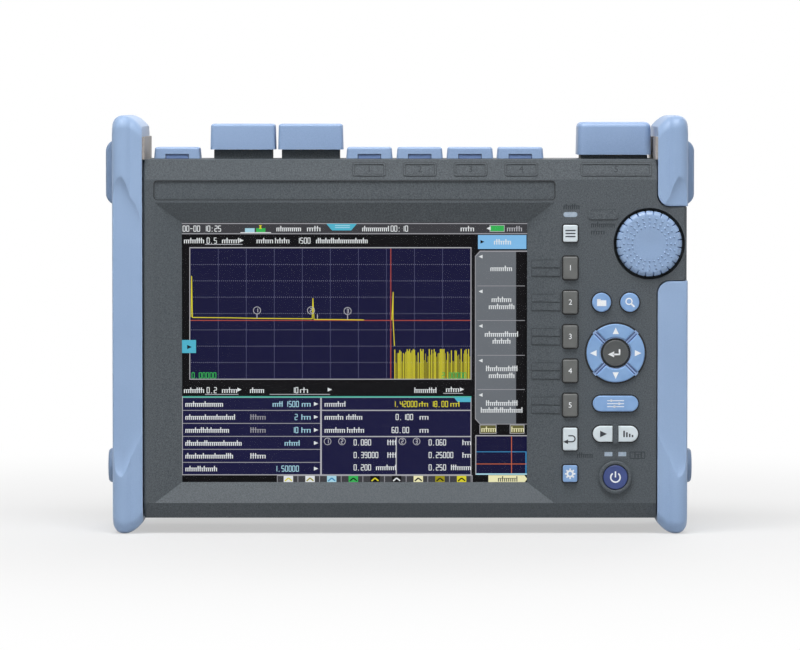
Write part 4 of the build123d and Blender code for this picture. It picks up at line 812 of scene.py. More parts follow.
# Flat shapes: the screen's picture, the marks on the keys and the lines on the case
class Sheet:
    """Flat coloured shapes on one upright plane, gathered into a single thin piece.

    Each shape is a convex outline of (x, z) points. It stands that many layers in front of the plane, so
    that a shape of a higher level covers the lower ones.
    """

    def __init__(self, name, y, body, slot, layer):
        self.name, self.y, self.body, self.slot, self.layer = name, y, body, slot, layer
        self.points, self.faces, self.tags, self.materials = [], [], [], []

    def add(self, outline, material, level=1):
        """One shape with its front at that many layers forward of the plane, and closed sides."""
        outline = np.asarray(outline, dtype=float)
        following = np.roll(outline, -1, axis=0)
        if np.sum(outline[:, 0] * following[:, 1] - following[:, 0] * outline[:, 1]) < 0:
            outline = outline[::-1]
        count = len(outline)
        start = sum(len(p) for p in self.points)
        front = np.column_stack([outline[:, 0], np.full(count, self.y - level * self.layer), outline[:, 1]])
        back = front.copy()
        back[:, 1] = self.y
        self.points += [front, back]
        if material not in self.materials:
            self.materials.append(material)
        ring = np.arange(count)
        following = (ring + 1) % count
        sides = np.column_stack([ring, ring + count, following + count, following]) + start
        caps = [(ring + start).tolist(), (ring[::-1] + count + start).tolist()]
        self.faces += caps + sides.tolist()
        self.tags += [self.materials.index(material)] * (count + len(caps))

    def lean(self, z, slope):
        """Shears every point back by its height over z times the slope."""
        for block in self.points:
            block[:, 1] += (block[:, 2] - z) * slope

    def build(self):
        """The finished piece."""
        points = np.concatenate(self.points)
        return add_mesh(
            self.name, points, self.faces, self.materials, self.body, False, self.tags
        )


def bar(x, z, width, height):
    """The outline of an upright rectangle about a centre."""
    return np.array([x, z]) + np.array([[-1, -1], [1, -1], [1, 1], [-1, 1]]) * [width / 2, height / 2]


def stroke(x0, z0, x1, z1, width):
    """A straight line of that width, as an outline: both ends moved out sideways by half the width."""
    along = np.array([x1 - x0, z1 - z0])
    across = np.array([-along[1], along[0]]) / np.hypot(*along) * width / 2
    start, end = np.array([x0, z0]), np.array([x1, z1])
    return np.array([start - across, end - across, end + across, start + across])


def arc_strokes(x, z, radius, start, end, width, count=18):
    """An arc drawn as short quads between two circles, from one angle to another in degrees."""
    angle = np.radians(np.linspace(start, end, count + 1))
    ring = np.column_stack([np.cos(angle), np.sin(angle)])
    inner = np.array([x, z]) + ring * (radius - width / 2)
    outer = np.array([x, z]) + ring * (radius + width / 2)
    return [np.array([inner[i], outer[i], outer[i + 1], inner[i + 1]]) for i in range(count)]


POINTER_CORNERS = 0, 130, 230


def pointer(x, z, size, degrees):
    """A triangle whose tip points at that angle."""
    corner = np.radians(np.array(POINTER_CORNERS) + degrees)
    return np.column_stack([x + size * np.cos(corner), z + size * np.sin(corner)])


LETTER_DEPTH = 0.06
LETTER_STEPS = 3
# The font's size over the height of its figures
FONT_RATIO = 1.42


def lettering(name, text, x, y, z, height, material, body, lean=0.0):
    """Plain figures on a front face, centred on (x, z), in millimetres; their tops lean back by that angle."""
    curve = bpy.data.curves.new(name, "FONT")
    curve.body = text
    curve.align_x = "CENTER"
    curve.align_y = "CENTER"
    curve.size = height * FONT_RATIO
    curve.extrude = LETTER_DEPTH / 2
    curve.resolution_u = LETTER_STEPS
    holder = bpy.data.objects.new(name, curve)
    mesh = bpy.data.meshes.new_from_object(holder)
    bpy.data.objects.remove(holder)
    place = Matrix.Translation(Vector((x, y - LETTER_DEPTH / 2, z)) * mm)
    mesh.transform(place @ Matrix.Rotation(math.pi / 2 - lean, 4, "X") @ Matrix.Scale(mm, 4))
    mesh.materials.clear()
    mesh.materials.append(material)
    piece = bpy.data.objects.new(name, mesh)
    bpy.context.scene.collection.objects.link(piece)
    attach(piece, body)
    return piece


# Screen: a plain trace plot, its tables and the side menu, as lit shapes in the photograph's pixels
lights = {
    name: lit("lit_" + name, srgb(*color))
    for name, color in {
        "black": (9, 9, 10),
        "bar": (64, 64, 68),
        "rim": (158, 158, 164),
        "navy": (17, 17, 56),
        "table": (22, 22, 62),
        "grid": (74, 76, 108),
        "dots": (120, 120, 146),
        "pale": (182, 182, 188),
        "white": (232, 236, 238),
        "ice": (172, 218, 234),
        "yellow": (222, 212, 44),
        "ochre": (158, 150, 24),
        "red": (176, 76, 64),
        "green": (58, 182, 88),
        "teal": (82, 186, 168),
        "cyan": (84, 184, 210),
        "sky": (132, 192, 238),
        "menu": (110, 115, 121),
        "olive": (104, 102, 58),
        "cream": (240, 236, 188),
        "orange": (206, 104, 62),
        "azure": (58, 138, 190),
    }.items()
}

# Rectangles of the screen: left, top, right and bottom in photo pixels, colour, layer
SCREEN_BLOCKS = (
    (179.5, 223.0, 528.5, 234.2, "rim", 1),
    (179.5, 224.0, 528.5, 233.2, "bar", 2),
    (245.0, 228.2, 254.6, 232.2, "ice", 3),
    (256.2, 228.2, 265.4, 232.2, "green", 3),
    (240.5, 232.2, 271.0, 233.0, "white", 3),
    (489.6, 225.0, 504.6, 231.8, "pale", 3),
    (490.2, 225.6, 504.0, 231.2, "green", 4),
    (189.4, 247.2, 471.4, 379.6, "pale", 1),
    (190.2, 248.2, 470.6, 378.8, "navy", 2),
    (180.0, 340.0, 196.0, 353.0, "cyan", 5),
    (182.0, 396.2, 471.4, 475.2, "pale", 1),
    (182.8, 397.8, 470.6, 474.4, "table", 2),
    (182.8, 396.2, 471.4, 397.6, "teal", 3),
    (320.2, 397.8, 321.8, 474.4, "pale", 3),
    (182.8, 410.0, 320.2, 410.7, "rim", 3),
    (182.8, 423.0, 320.2, 423.7, "rim", 3),
    (182.8, 436.0, 320.2, 436.7, "rim", 3),
    (182.8, 449.0, 320.2, 449.7, "rim", 3),
    (182.8, 462.0, 320.2, 462.7, "rim", 3),
    (321.8, 409.8, 470.6, 410.9, "pale", 3),
    (321.8, 436.0, 470.6, 437.1, "pale", 3),
    (395.6, 437.1, 396.8, 474.4, "pale", 3),
    (277.0, 475.2, 472.6, 483.4, "rim", 1),
    (277.6, 476.0, 472.0, 482.8, "bar", 2),
    (478.0, 235.0, 526.4, 249.0, "sky", 2),
    (516.0, 251.8, 528.5, 423.8, "black", 4),
    (477.4, 285.6, 524.8, 286.2, "rim", 5),
    (477.4, 320.2, 524.8, 320.8, "rim", 5),
    (477.4, 355.0, 524.8, 355.6, "rim", 5),
    (477.4, 389.2, 524.8, 389.8, "rim", 5),
    (479.6, 424.6, 496.4, 433.6, "pale", 2),
    (480.2, 425.2, 495.8, 433.0, "olive", 3),
    (509.8, 424.6, 524.4, 433.6, "pale", 2),
    (510.4, 425.2, 523.8, 433.0, "olive", 3),
    (475.4, 435.2, 528.5, 474.8, "pale", 1),
    (476.2, 436.2, 528.5, 473.4, "navy", 2),
    (476.2, 473.4, 528.5, 474.8, "ice", 2),
    (476.2, 451.4, 526.6, 452.2, "azure", 3),
    (525.4, 452.2, 526.6, 473.4, "azure", 3),
    (476.2, 463.6, 526.6, 464.3, "orange", 4),
    (511.2, 436.2, 511.9, 473.4, "orange", 4),
    (205.0, 244.0, 242.6, 244.7, "pale", 2),
    (269.6, 394.0, 330.0, 394.7, "pale", 2),
    (205.0, 394.0, 238.4, 394.7, "pale", 2),
    (443.2, 393.0, 463.0, 393.7, "pale", 2),
    (335.0, 225.2, 350.0, 226.0, "ice", 4),
    (335.0, 227.2, 350.0, 228.0, "ice", 4),
)
# Shapes with slanted sides, as corners in photo pixels, colour, layer
SCREEN_SHAPES = (
    (((326.4, 223.8), (332.0, 230.4), (351.2, 230.4), (356.8, 223.8)), "cyan", 3),
    (((454.0, 397.4), (457.6, 402.0), (470.8, 402.0), (470.8, 397.4)), "cyan", 4),
    (
        ((475.0, 256.0), (475.0, 419.0), (480.0, 424.4), (528.5, 424.4), (528.5, 250.6), (480.0, 250.6)),
        "rim", 1,
    ),
    (
        ((475.8, 256.4), (475.8, 418.6), (480.4, 423.8), (516.0, 423.8), (516.0, 251.8), (480.4, 251.8)),
        "menu", 2,
    ),
    (((488.4, 475.2), (488.4, 482.6), (524.4, 482.6), (527.2, 478.9), (524.4, 475.2)), "cream", 3),
)
# Plain numbers on the screen: text, left edge and middle in photo pixels, colour
SCREEN_NUMBERS = (
    ("00-00", 183.0, 228.6, "white"),
    ("10:25", 204.0, 228.6, "white"),
    ("00:10", 391.0, 228.6, "white"),
    ("0.5", 207.0, 240.6, "white"),
    ("1500", 297.0, 240.6, "white"),
    ("0.2", 207.0, 390.2, "white"),
    ("10", 292.0, 390.2, "white"),
    ("1500", 285.4, 404.0, "ice"),
    ("2", 295.0, 417.0, "ice"),
    ("10", 292.0, 430.0, "ice"),
    ("1.50000", 274.6, 468.6, "ice"),
    ("1.42000", 393.0, 404.0, "yellow"),
    ("18.00", 431.0, 404.0, "yellow"),
    ("0.100", 396.0, 417.0, "white"),
    ("60.00", 392.0, 430.0, "white"),
    ("0.080", 354.0, 442.4, "white"),
    ("0.39000", 354.0, 455.0, "white"),
    ("0.200", 354.0, 467.4, "white"),
    ("0.060", 429.0, 442.4, "white"),
    ("0.25000", 429.0, 455.0, "white"),
    ("0.250", 429.0, 467.4, "white"),
    ("0.00000", 192.0, 375.4, "green"),
    ("2.00000", 442.0, 375.4, "green"),
)
# Rows of short upright bars on the screen: left, right and middle in photo pixels, colour
SCREEN_BARS = (
    (276.4, 300.0, 228.6, "white"), (307.0, 319.4, 228.6, "white"), (362.2, 388.0, 228.6, "white"),
    (460.6, 473.0, 228.6, "white"), (507.0, 521.0, 228.6, "pale"), (184.0, 203.0, 240.6, "white"),
    (222.0, 238.0, 240.6, "white"), (256.6, 272.0, 240.6, "white"), (275.0, 288.4, 240.6, "white"),
    (316.0, 366.6, 240.6, "white"), (184.0, 203.0, 390.2, "white"), (222.0, 236.0, 390.2, "white"),
    (250.0, 263.0, 390.2, "white"), (300.0, 307.0, 390.2, "white"), (414.4, 435.4, 390.2, "white"),
    (446.0, 458.0, 389.4, "white"), (185.4, 222.0, 404.0, "white"), (272.6, 281.6, 404.0, "ice"),
    (301.8, 309.6, 404.0, "ice"), (185.4, 234.0, 417.0, "white"), (250.4, 264.6, 417.0, "rim"),
    (301.4, 309.6, 417.0, "ice"), (185.4, 228.0, 430.0, "white"), (250.4, 264.6, 430.0, "rim"),
    (301.4, 309.6, 430.0, "ice"), (185.4, 240.6, 443.0, "white"), (284.6, 298.6, 443.0, "ice"),
    (185.4, 232.0, 455.8, "white"), (250.4, 264.6, 455.8, "white"), (185.4, 216.0, 468.6, "white"),
    (324.6, 344.4, 404.0, "white"), (419.0, 427.0, 404.0, "yellow"), (450.4, 458.4, 404.0, "yellow"),
    (324.6, 342.2, 417.0, "white"), (346.2, 361.2, 417.0, "white"), (419.6, 427.4, 417.0, "white"),
    (324.6, 344.0, 430.0, "white"), (347.0, 363.0, 430.0, "white"), (419.6, 427.4, 430.0, "white"),
    (387.4, 395.0, 442.4, "white"), (387.4, 395.0, 455.0, "white"), (376.0, 395.0, 467.4, "white"),
    (462.4, 470.0, 442.4, "white"), (462.4, 470.0, 455.0, "white"), (451.0, 470.0, 467.4, "white"),
    (494.0, 510.0, 241.8, "white"), (490.4, 511.0, 268.4, "white"), (491.6, 510.2, 299.4, "white"),
    (488.8, 513.4, 306.4, "white"), (484.8, 517.0, 334.0, "white"), (492.6, 509.4, 341.0, "white"),
    (486.0, 516.4, 368.4, "white"), (488.8, 513.4, 375.4, "white"), (486.0, 516.4, 403.0, "white"),
    (480.8, 521.4, 410.0, "white"), (481.4, 495.0, 429.2, "cream"), (511.4, 523.0, 429.2, "cream"),
    (498.0, 516.4, 478.9, "bar"),
)
# Small triangles on the screen: tip's direction in degrees, centre in photo pixels, size, colour
SCREEN_POINTERS = (
    (0, 241.2, 240.4, 2.6, "white"), (0, 239.0, 389.6, 2.6, "white"), (0, 329.4, 389.6, 2.6, "white"),
    (0, 461.6, 389.4, 2.6, "white"), (0, 315.6, 404.0, 2.6, "white"), (0, 315.6, 417.0, 2.6, "white"),
    (0, 315.6, 430.0, 2.6, "white"), (0, 315.6, 443.0, 2.6, "white"), (0, 315.6, 468.6, 2.6, "white"),
    (0, 189.0, 347.0, 2.8, "black"), (0, 482.0, 241.8, 2.4, "black"), (180, 481.0, 256.6, 2.4, "white"),
    (180, 481.0, 291.4, 2.4, "white"), (180, 481.0, 326.0, 2.4, "white"), (180, 481.0, 360.6, 2.4, "white"),
    (180, 481.0, 395.0, 2.4, "white"),
    (180, 489.0, 228.4, 2.6, "white"), (90, 260.4, 226.4, 1.9, "yellow"), (-90, 260.4, 227.6, 1.9, "yellow"),
)
# Numbered rings over the trace and in the table: centre and radius in photo pixels
SCREEN_RINGS = (
    ("1", 257.0, 310.4, 3.6), ("2", 311.0, 310.4, 3.6), ("3", 347.6, 311.0, 3.6),
    ("1", 327.6, 441.4, 3.4), ("2", 342.0, 441.4, 3.4), ("2", 402.4, 441.4, 3.4), ("3", 416.6, 441.4, 3.4),
)
RING_STEMS = ((257.0, 314.2, 318.4), (317.4, 314.4, 318.8), (347.6, 314.8, 319.6))
# The trace: turning points in photo pixels
TRACE_POINTS = (
    (191.0, 317.0), (191.6, 276.0), (192.4, 317.4), (231.0, 317.8), (256.0, 318.3), (312.2, 318.8),
    (312.9, 298.2), (314.0, 319.4), (336.0, 319.5), (349.0, 319.7), (364.0, 319.9),
)
END_SPIKE = ((391.8, 320.0), (393.2, 292.0), (393.0, 318.0), (394.4, 346.0))
# Icons along the foot of the screen: ground and mark
ICON_COLORS = (
    ("white", "yellow"), ("white", "ochre"), ("ice", "azure"), ("green", "black"), ("black", "yellow"),
    ("black", "white"), ("cream", "black"), ("ochre", "black"), ("yellow", "black"),
)
ICON_FIRST, ICON_PITCH, ICON_TOP, ICON_HEIGHT, ICON_WIDTH = 288.4, 21.65, 475.8, 7.2, 9.4
ICON_MARK_INSET, ICON_MARK_WIDTH, ICON_MARK_FALL, ICON_MARK_TOP, ICON_MARK_END = 1.2, 1.3, 1.6, 1.4, 1.4
ICON_RULE, ICON_RULE_WIDTH = 14.2, 0.7
GRID_LEFT, GRID_TOP, GRID_RIGHT, GRID_BOTTOM = 190.2, 248.2, 470.6, 378.8
GRID_COLUMNS, GRID_ROWS = 10, 8
DOT_PITCH, DOT_SIZE = 2.0, 0.75
# The noise past the fibre's end: bars whose tops fall by NOISE_FALL times the square of a scattered value
NOISE_LEFT, NOISE_RIGHT, NOISE_TOP, NOISE_FALL, NOISE_COUNT, NOISE_WIDTH = 394.4, 470.4, 349.0, 14, 62, 0.85
NOISE_TURN, NOISE_SPREAD, NOISE_BRIGHT = 78.2, 437.6, 0.55
CURSOR_X, CURSOR_Y, LINE_WIDTH = 390.8, 320.4, 0.8
THIN_LINE = LINE_WIDTH * 0.8
# Figures from seven strokes a to g and the dots p and q, each from one corner of a box to another
FIGURE_HEIGHT, FIGURE_WIDTH, FIGURE_PITCH, FIGURE_LINE = 5.4, 2.3, 3.6, 0.72
RING_FIGURE_SCALE, RING_FIGURE_LEFT = 0.7, 0.35
FIGURE_SEGMENTS = {
    "0": "abcdef", "1": "bc", "2": "abged", "3": "abgcd", "4": "fgbc", "5": "afgcd", "6": "afgedc",
    "7": "abc", "8": "abcdefg", "9": "abcdfg", "-": "g", ".": "p", ":": "pq",
}
SEGMENT_ENDS = {
    "a": (0, 0, 1, 0), "b": (1, 0, 1, 0.5), "c": (1, 0.5, 1, 1), "d": (0, 1, 1, 1), "e": (0, 0.5, 0, 1),
    "f": (0, 0, 0, 0.5), "g": (0, 0.5, 1, 0.5), "p": (0.4, 0.92, 0.4, 1.08), "q": (0.4, 0.3, 0.4, 0.46),
}
# Rows of bars: one is tall where its scattered value is past BARS_SHARE, and a line joins the low ones' tops
BARS_PITCH, BARS_LOW, BARS_TALL, BARS_WIDTH, BARS_LINE = 1.8, 3.6, 5.4, 0.55, 0.5
BARS_TURN, BARS_SPREAD, BARS_SHARE = 12.9, 43.7, 0.72
SCREEN_LAYER = 0.02
SCREEN_MARGIN = 0.5
TEXT_LEVEL = 6


def scattered(values, turn, spread):
    """Numbers from 0 to 1 with no order: what is left of spread times the sine of turn times each value."""
    waves = np.sin(values * turn) * spread
    return waves - np.floor(waves)


class Picture(Sheet):
    """A sheet of shapes whose outlines are given in the photograph's pixels."""

    def __init__(self, name, y, body, slot, layer, palette):
        super().__init__(name, y, body, slot, layer)
        self.palette = palette

    def add(self, outline, color, level=1):
        """The outline carried onto the sheet's plane along the camera's rays."""
        super().add(on_photo(outline, self.y), self.palette[color], level)

    def block(self, left, top, right, bottom, color, level):
        """An upright rectangle."""
        self.add([(left, top), (left, bottom), (right, bottom), (right, top)], color, level)

    def line(self, start, end, width, color, level):
        """A straight line between two points."""
        self.add(stroke(*start, *end, width), color, level)

    def ring(self, x, y, radius, width, color, level):
        """A circle's line."""
        for outline in arc_strokes(x, y, radius, 0, 360, width, 16):
            self.add(outline, color, level)

    def figures(self, text, left, middle, color, scale=1.0):
        """Plain numbers from seven straight strokes each."""
        top = middle - FIGURE_HEIGHT * scale / 2
        for character in text:
            for segment in FIGURE_SEGMENTS[character]:
                x0, y0, x1, y1 = SEGMENT_ENDS[segment]
                start = (left + x0 * FIGURE_WIDTH * scale, top + y0 * FIGURE_HEIGHT * scale)
                end = (left + x1 * FIGURE_WIDTH * scale, top + y1 * FIGURE_HEIGHT * scale)
                self.line(start, end, FIGURE_LINE, color, TEXT_LEVEL)
            left += FIGURE_PITCH * scale

    def bars(self, left, right, middle, color):
        """A row of short upright bars, some of them taller, with a thin line along the low ones' tops."""
        count = max(int((right - left) / BARS_PITCH), 2)
        x = np.linspace(left, right, count)
        bottom = middle + BARS_TALL / 2
        tall = scattered(x, BARS_TURN, BARS_SPREAD) > BARS_SHARE
        for place, high in zip(x, tall):
            height = BARS_TALL if high else BARS_LOW
            self.block(place, bottom - height, place + BARS_PITCH * BARS_WIDTH, bottom, color, TEXT_LEVEL)
        self.block(left, bottom - BARS_LOW, right, bottom - BARS_LOW + BARS_LINE, color, TEXT_LEVEL - 1)


def make_screen():
    """The picture on the display panel, just behind the window."""
    low, high = span("display_panel")
    sheet = Picture("screen_picture", low[1], "root", "panel_black", SCREEN_LAYER, lights)
    x, z = (low[0] + high[0]) / 2, (low[2] + high[2]) / 2
    whole = bar(x, z, high[0] - low[0] - 2 * SCREEN_MARGIN, high[2] - low[2] - 2 * SCREEN_MARGIN)
    Sheet.add(sheet, whole, lights["black"], 0.5)
    for left, top, right, bottom, color, level in SCREEN_BLOCKS:
        sheet.block(left, top, right, bottom, color, level)
    for outline, color, level in SCREEN_SHAPES:
        sheet.add(outline, color, level)
    for i in range(1, GRID_COLUMNS):
        x = GRID_LEFT + (GRID_RIGHT - GRID_LEFT) * i / GRID_COLUMNS
        sheet.line((x, GRID_TOP), (x, GRID_BOTTOM), THIN_LINE, "grid", 3)
    dots = np.arange(GRID_LEFT + 1, GRID_RIGHT - 1, DOT_PITCH)
    for i in range(1, GRID_ROWS):
        y = GRID_TOP + (GRID_BOTTOM - GRID_TOP) * i / GRID_ROWS
        for x in dots:
            sheet.block(x, y - DOT_SIZE / 2, x + DOT_SIZE, y + DOT_SIZE / 2, "dots", 3.5)
    sheet.line((CURSOR_X, GRID_TOP), (CURSOR_X, GRID_BOTTOM), LINE_WIDTH, "red", 4)
    sheet.line((GRID_LEFT, CURSOR_Y), (GRID_RIGHT, CURSOR_Y), LINE_WIDTH, "red", 4.5)
    for points in (TRACE_POINTS, END_SPIKE):
        for k in range(len(points) - 1):
            sheet.line(points[k], points[k + 1], LINE_WIDTH, "yellow", 5)
    noise_x = np.linspace(NOISE_LEFT, NOISE_RIGHT - 1, NOISE_COUNT)
    for k, (x, turn) in enumerate(zip(noise_x, scattered(noise_x, NOISE_TURN, NOISE_SPREAD))):
        color = "yellow" if turn < NOISE_BRIGHT else "ochre"
        top = NOISE_TOP + NOISE_FALL * turn ** 2
        sheet.block(x, top, x + NOISE_WIDTH, GRID_BOTTOM, color, 3.8 if k % 2 else 4.2)
    for number, x, y, radius in SCREEN_RINGS:
        sheet.ring(x, y, radius, THIN_LINE, "pale", TEXT_LEVEL)
        sheet.figures(number, x - FIGURE_WIDTH * RING_FIGURE_LEFT, y, "pale", RING_FIGURE_SCALE)
    for x, top, bottom in RING_STEMS:
        sheet.line((x, top), (x, bottom), LINE_WIDTH, "pale", TEXT_LEVEL)
    for text, left, middle, color in SCREEN_NUMBERS:
        sheet.figures(text, left, middle, color)
    for left, right, middle, color in SCREEN_BARS:
        sheet.bars(left, right, middle, color)
    for degrees, x, y, size, color in SCREEN_POINTERS:
        sheet.add(pointer(x, y, size, degrees), color, TEXT_LEVEL)
    for k, (ground, mark) in enumerate(ICON_COLORS):
        left = ICON_FIRST + k * ICON_PITCH - ICON_WIDTH / 2
        middle, bottom = ICON_TOP + ICON_HEIGHT / 2, ICON_TOP + ICON_HEIGHT
        sheet.block(left, ICON_TOP, left + ICON_WIDTH, bottom, ground, 3)
        start = (left + ICON_MARK_INSET, middle + ICON_MARK_FALL)
        tip = (left + ICON_WIDTH / 2, middle - ICON_MARK_TOP)
        end = (left + ICON_WIDTH - ICON_MARK_INSET, middle + ICON_MARK_END)
        sheet.line(start, tip, ICON_MARK_WIDTH, mark, 4)
        sheet.line(tip, end, ICON_MARK_WIDTH, mark, 4.5)
        sheet.line((left + ICON_RULE, ICON_TOP), (left + ICON_RULE, bottom), ICON_RULE_WIDTH, "rim", 3)
    sheet.build()


# Marks on the keys, drawn in millimetres about each key's middle
white_ink = ink_and_painted_shade("ink_white", srgb(240, 243, 246))
dark_ink = ink_and_painted_shade("ink_dark", srgb(44, 48, 56))
faint_ink = ink_and_painted_shade("ink_faint", srgb(44, 50, 56), 0.7)
LINE = 0.62
MARK_LAYER = 0.05


def bars_mark():
    """Three level bars: a list of choices."""
    return [bar(0, z, 5.0, LINE) for z in (-1.5, 0, 1.5)]


def back_mark():
    """An arrow to the left whose tail turns up and back."""
    tail = arc_strokes(0.9, 0.2, 1.5, -90, 90, LINE)
    return [pointer(-2.0, -1.3, 1.5, 180), bar(-0.3, -1.3, 2.6, LINE), bar(0.0, 1.7, 1.8, LINE)] + tail


def gear_mark():
    """A ring with eight teeth."""
    root, tip, width = 1.7, 2.6, 0.8
    teeth = [
        stroke(root * math.cos(a), root * math.sin(a), tip * math.cos(a), tip * math.sin(a), width)
        for a in np.radians(np.arange(0, 360, 45))
    ]
    return arc_strokes(0, 0, 1.4, 0, 360, 0.9, 24) + teeth


def folder_mark():
    """A folder with its tab at the left."""
    return [bar(0, -0.4, 4.6, 2.9), bar(-1.4, 1.3, 1.8, 0.7)]


def lens_mark():
    """A magnifier: a ring and a handle."""
    return arc_strokes(-0.5, 0.5, 1.5, 0, 360, LINE, 24) + [stroke(0.6, -0.6, 2.2, -2.2, 0.8)]


def sliders_mark():
    """Three levels, each with its own knob."""
    lines = [bar(0, z, 8.4, 0.4) for z in (-1.5, 0, 1.5)]
    knobs = [bar(x, z, 0.9, 1.1) for x, z in ((-2.2, 1.5), (1.8, 0), (-0.6, -1.5))]
    return lines + knobs


def play_mark():
    """A triangle that points to the right."""
    return [pointer(0, 0, 2.1, 0)]


def level_mark():
    """A bar beside three that get shorter."""
    bars = (-2.1, 3.2), (-0.7, 2.4), (0.7, 1.7), (2.1, 1.1)
    return [bar(x, height / 2 - 1.6, 0.8, height) for x, height in bars]


def return_mark():
    """A line down and an arrow back to the left."""
    return [bar(1.9, 0.7, 0.8, 2.6), bar(0.4, -0.6, 3.6, 0.8), pointer(-2.0, -0.6, 1.9, 180)]


def power_mark():
    """A ring open at the top with an upright line in the gap."""
    return arc_strokes(0, 0, 2.35, 125, 415, 0.7, 30) + [bar(0, 1.5, 0.7, 3.0)]


KEY_MARKS = {
    "key_menu": (bars_mark, dark_ink),
    "key_escape": (back_mark, dark_ink),
    "key_utility": (gear_mark, white_ink),
    "key_file": (folder_mark, white_ink),
    "key_scale": (lens_mark, white_ink),
    "key_setup": (sliders_mark, white_ink),
    "key_realtime": (play_mark, dark_ink),
    "key_average": (level_mark, dark_ink),
    "key_enter": (return_mark, white_ink),
    "key_power": (power_mark, white_ink),
}
KEY_SLOTS = {part["node"]: part["material_slot"] for part in frame["record"]["subparts"]}
ARROW_REACH = 10.8
ARROW_SIZE = 2.0
ARROWS = {"key_up": (0, 1, 90), "key_down": (0, -1, -90), "key_left": (-1, 0, 180), "key_right": (1, 0, 0)}
NUMBER_HEIGHT = 2.7


def make_key_marks():
    """Plain marks printed on the keys, and plain numbers on the function keys."""
    for key, (shapes, material) in KEY_MARKS.items():
        x, z, y = middle_of(key)
        sheet = Sheet(key + "_mark", y, key, KEY_SLOTS[key], MARK_LAYER)
        for outline in shapes():
            sheet.add(np.asarray(outline) + [x, z], material)
        sheet.build()
    centre_x, centre_z = middle_of("key_enter")[:2]
    for key, (right, up, degrees) in ARROWS.items():
        sheet = Sheet(key + "_mark", span(key)[0][1], key, KEY_SLOTS[key], MARK_LAYER)
        place = (centre_x + right * ARROW_REACH, centre_z + up * ARROW_REACH)
        sheet.add(pointer(*place, ARROW_SIZE, degrees), white_ink)
        sheet.build()
    for number in "12345":
        key = "key_f" + number
        x, z, y = middle_of(key)
        lettering(key + "_mark", number, x, y, z, NUMBER_HEIGHT, white_ink, key)


# Painted shadow in the gaps round the keys, in millimetres as every size below that isn't said to be in pixels
GAP_WIDTH = 0.7
GAP_LAYER = 0.02
CAP_DEPTH = 1.2
COLUMN_CORNER = 0.9
CORNER_STEPS = 7
PAD_RIB = 1.7
PAD_LINE = 0.42
PAD_RING = 7.2
PAD_RING_WIDTH = 0.6
PAD_RING_STEPS = 48
PAD_EDGE = 15.0
PAD_EDGE_WIDTH = 0.9
PAD_EDGE_STEPS = 72
PAD_RADIUS = 14.2
# Painted shadow lines, numbers and rows of bars on the case, and painted shade in the covers' notches
EDGE_WIDTH = 0.32
FAINT_WIDTH = EDGE_WIDTH * 0.8
BROW_RISE = 10.0
BROW_SETBACK = 2.5
BROW_TOP_DROP = 5.0
BROW_FRAME_WIDTH = 16.2
OPTION_FRAME_WIDTH = 35.0
BROW_FRAME_HEIGHT = 6.4
BROW_FRAME_LINE = 0.7
BROW_FRAME_CORNER = 1.0
STRIP_SINK = 0.6
STRIP_CORNER = 1.8
NUMBER_TALL = 3.3
COVER_NOTCH_DEPTH = 0.8
COVER_NOTCH_WIDTH = 11.7
COVER_NOTCH_HEIGHT = 2.3
COVER_LINE = 0.28
ROUND_KEYS = ("key_file", "key_scale", "key_setup", "key_power")
PORT_COVERS = ("cover_usb_1", "cover_usb_2", "cover_usb_3", "cover_lan", "cover_option")
SMALL_COVERS = ("cover_dc", "cover_usb_1", "cover_usb_2", "cover_usb_3", "cover_lan")
# Rows of small bars on the face: left, right and middle in photo pixels
FACE_BARS = (
    (563.6, 578.4, 206.4), (597.2, 611.4, 215.4), (591.0, 613.6, 224.6), (591.0, 603.4, 231.8),
    (577.0, 591.6, 455.0), (634.4, 640.8, 455.0),
)
FACE_FRAME = (630.0, 452.0, 644.8, 458.4)
# Frames pressed into the face, in photo pixels: left, top, right, bottom
PUSH_FRAME = (588.6, 210.2, 618.4, 219.4)
PUSH_CORNER = 2.0
KEY_FRAMES = ((531.8, 260.4, 560.4, 267.8), (531.8, 268.8, 560.4, 276.6))
KEY_FRAME_PITCH = 34.25
KEY_FRAME_CORNER = 0.5
KEY_FRAME_ROWS = 5
face_y = span("led_windows")[0][1]
# Flat dark finishes for painted shadow and shade: in the gaps round keys, along recessed and raised edges, and
# in the covers' notches
black_shadow = ink_and_painted_shade("painted_shadow_black", srgb(14, 15, 18), 0.6)
navy_shadow = ink_and_painted_shade("painted_shadow_navy", srgb(30, 54, 112), 0.5)
notch_shade = ink_and_painted_shade("painted_shade_notch", srgb(122, 148, 198), 0.5)
edge_shadow = ink_and_painted_shade("painted_shadow_edge", srgb(50, 56, 61), 0.6)


def points_of(name):
    """The points of a CAD node's mesh, in millimetres."""
    mesh = nodes[name].data
    flat = np.empty(len(mesh.vertices) * 3)
    mesh.vertices.foreach_get("co", flat)
    return flat.reshape(-1, 3) / mm


def cap_box(name):
    """Lowest and highest x and z of a key's cap, from the points near its front, in millimetres."""
    points = points_of(name)
    cap = points[points[:, 1] < points[:, 1].min() + CAP_DEPTH][:, [0, 2]]
    return cap.min(axis=0), cap.max(axis=0)


def rounded(low, high, corners, grow):
    """A rounded rectangle's outline: quarter circles at its corners, all moved outwards by grow.

    corners are the radii at the upper right, upper left, lower left and lower right.
    """
    rights, ups = (1, 0, 0, 1), (1, 1, 0, 0)
    outline = []
    for k, radius in enumerate(corners):
        x = high[0] - radius if rights[k] else low[0] + radius
        z = high[1] - radius if ups[k] else low[1] + radius
        angle = np.radians(np.linspace(90 * k, 90 * k + 90, CORNER_STEPS))
        arc = np.column_stack([np.cos(angle), np.sin(angle)])
        outline.append([x, z] + (radius + grow) * arc)
    return np.concatenate(outline)


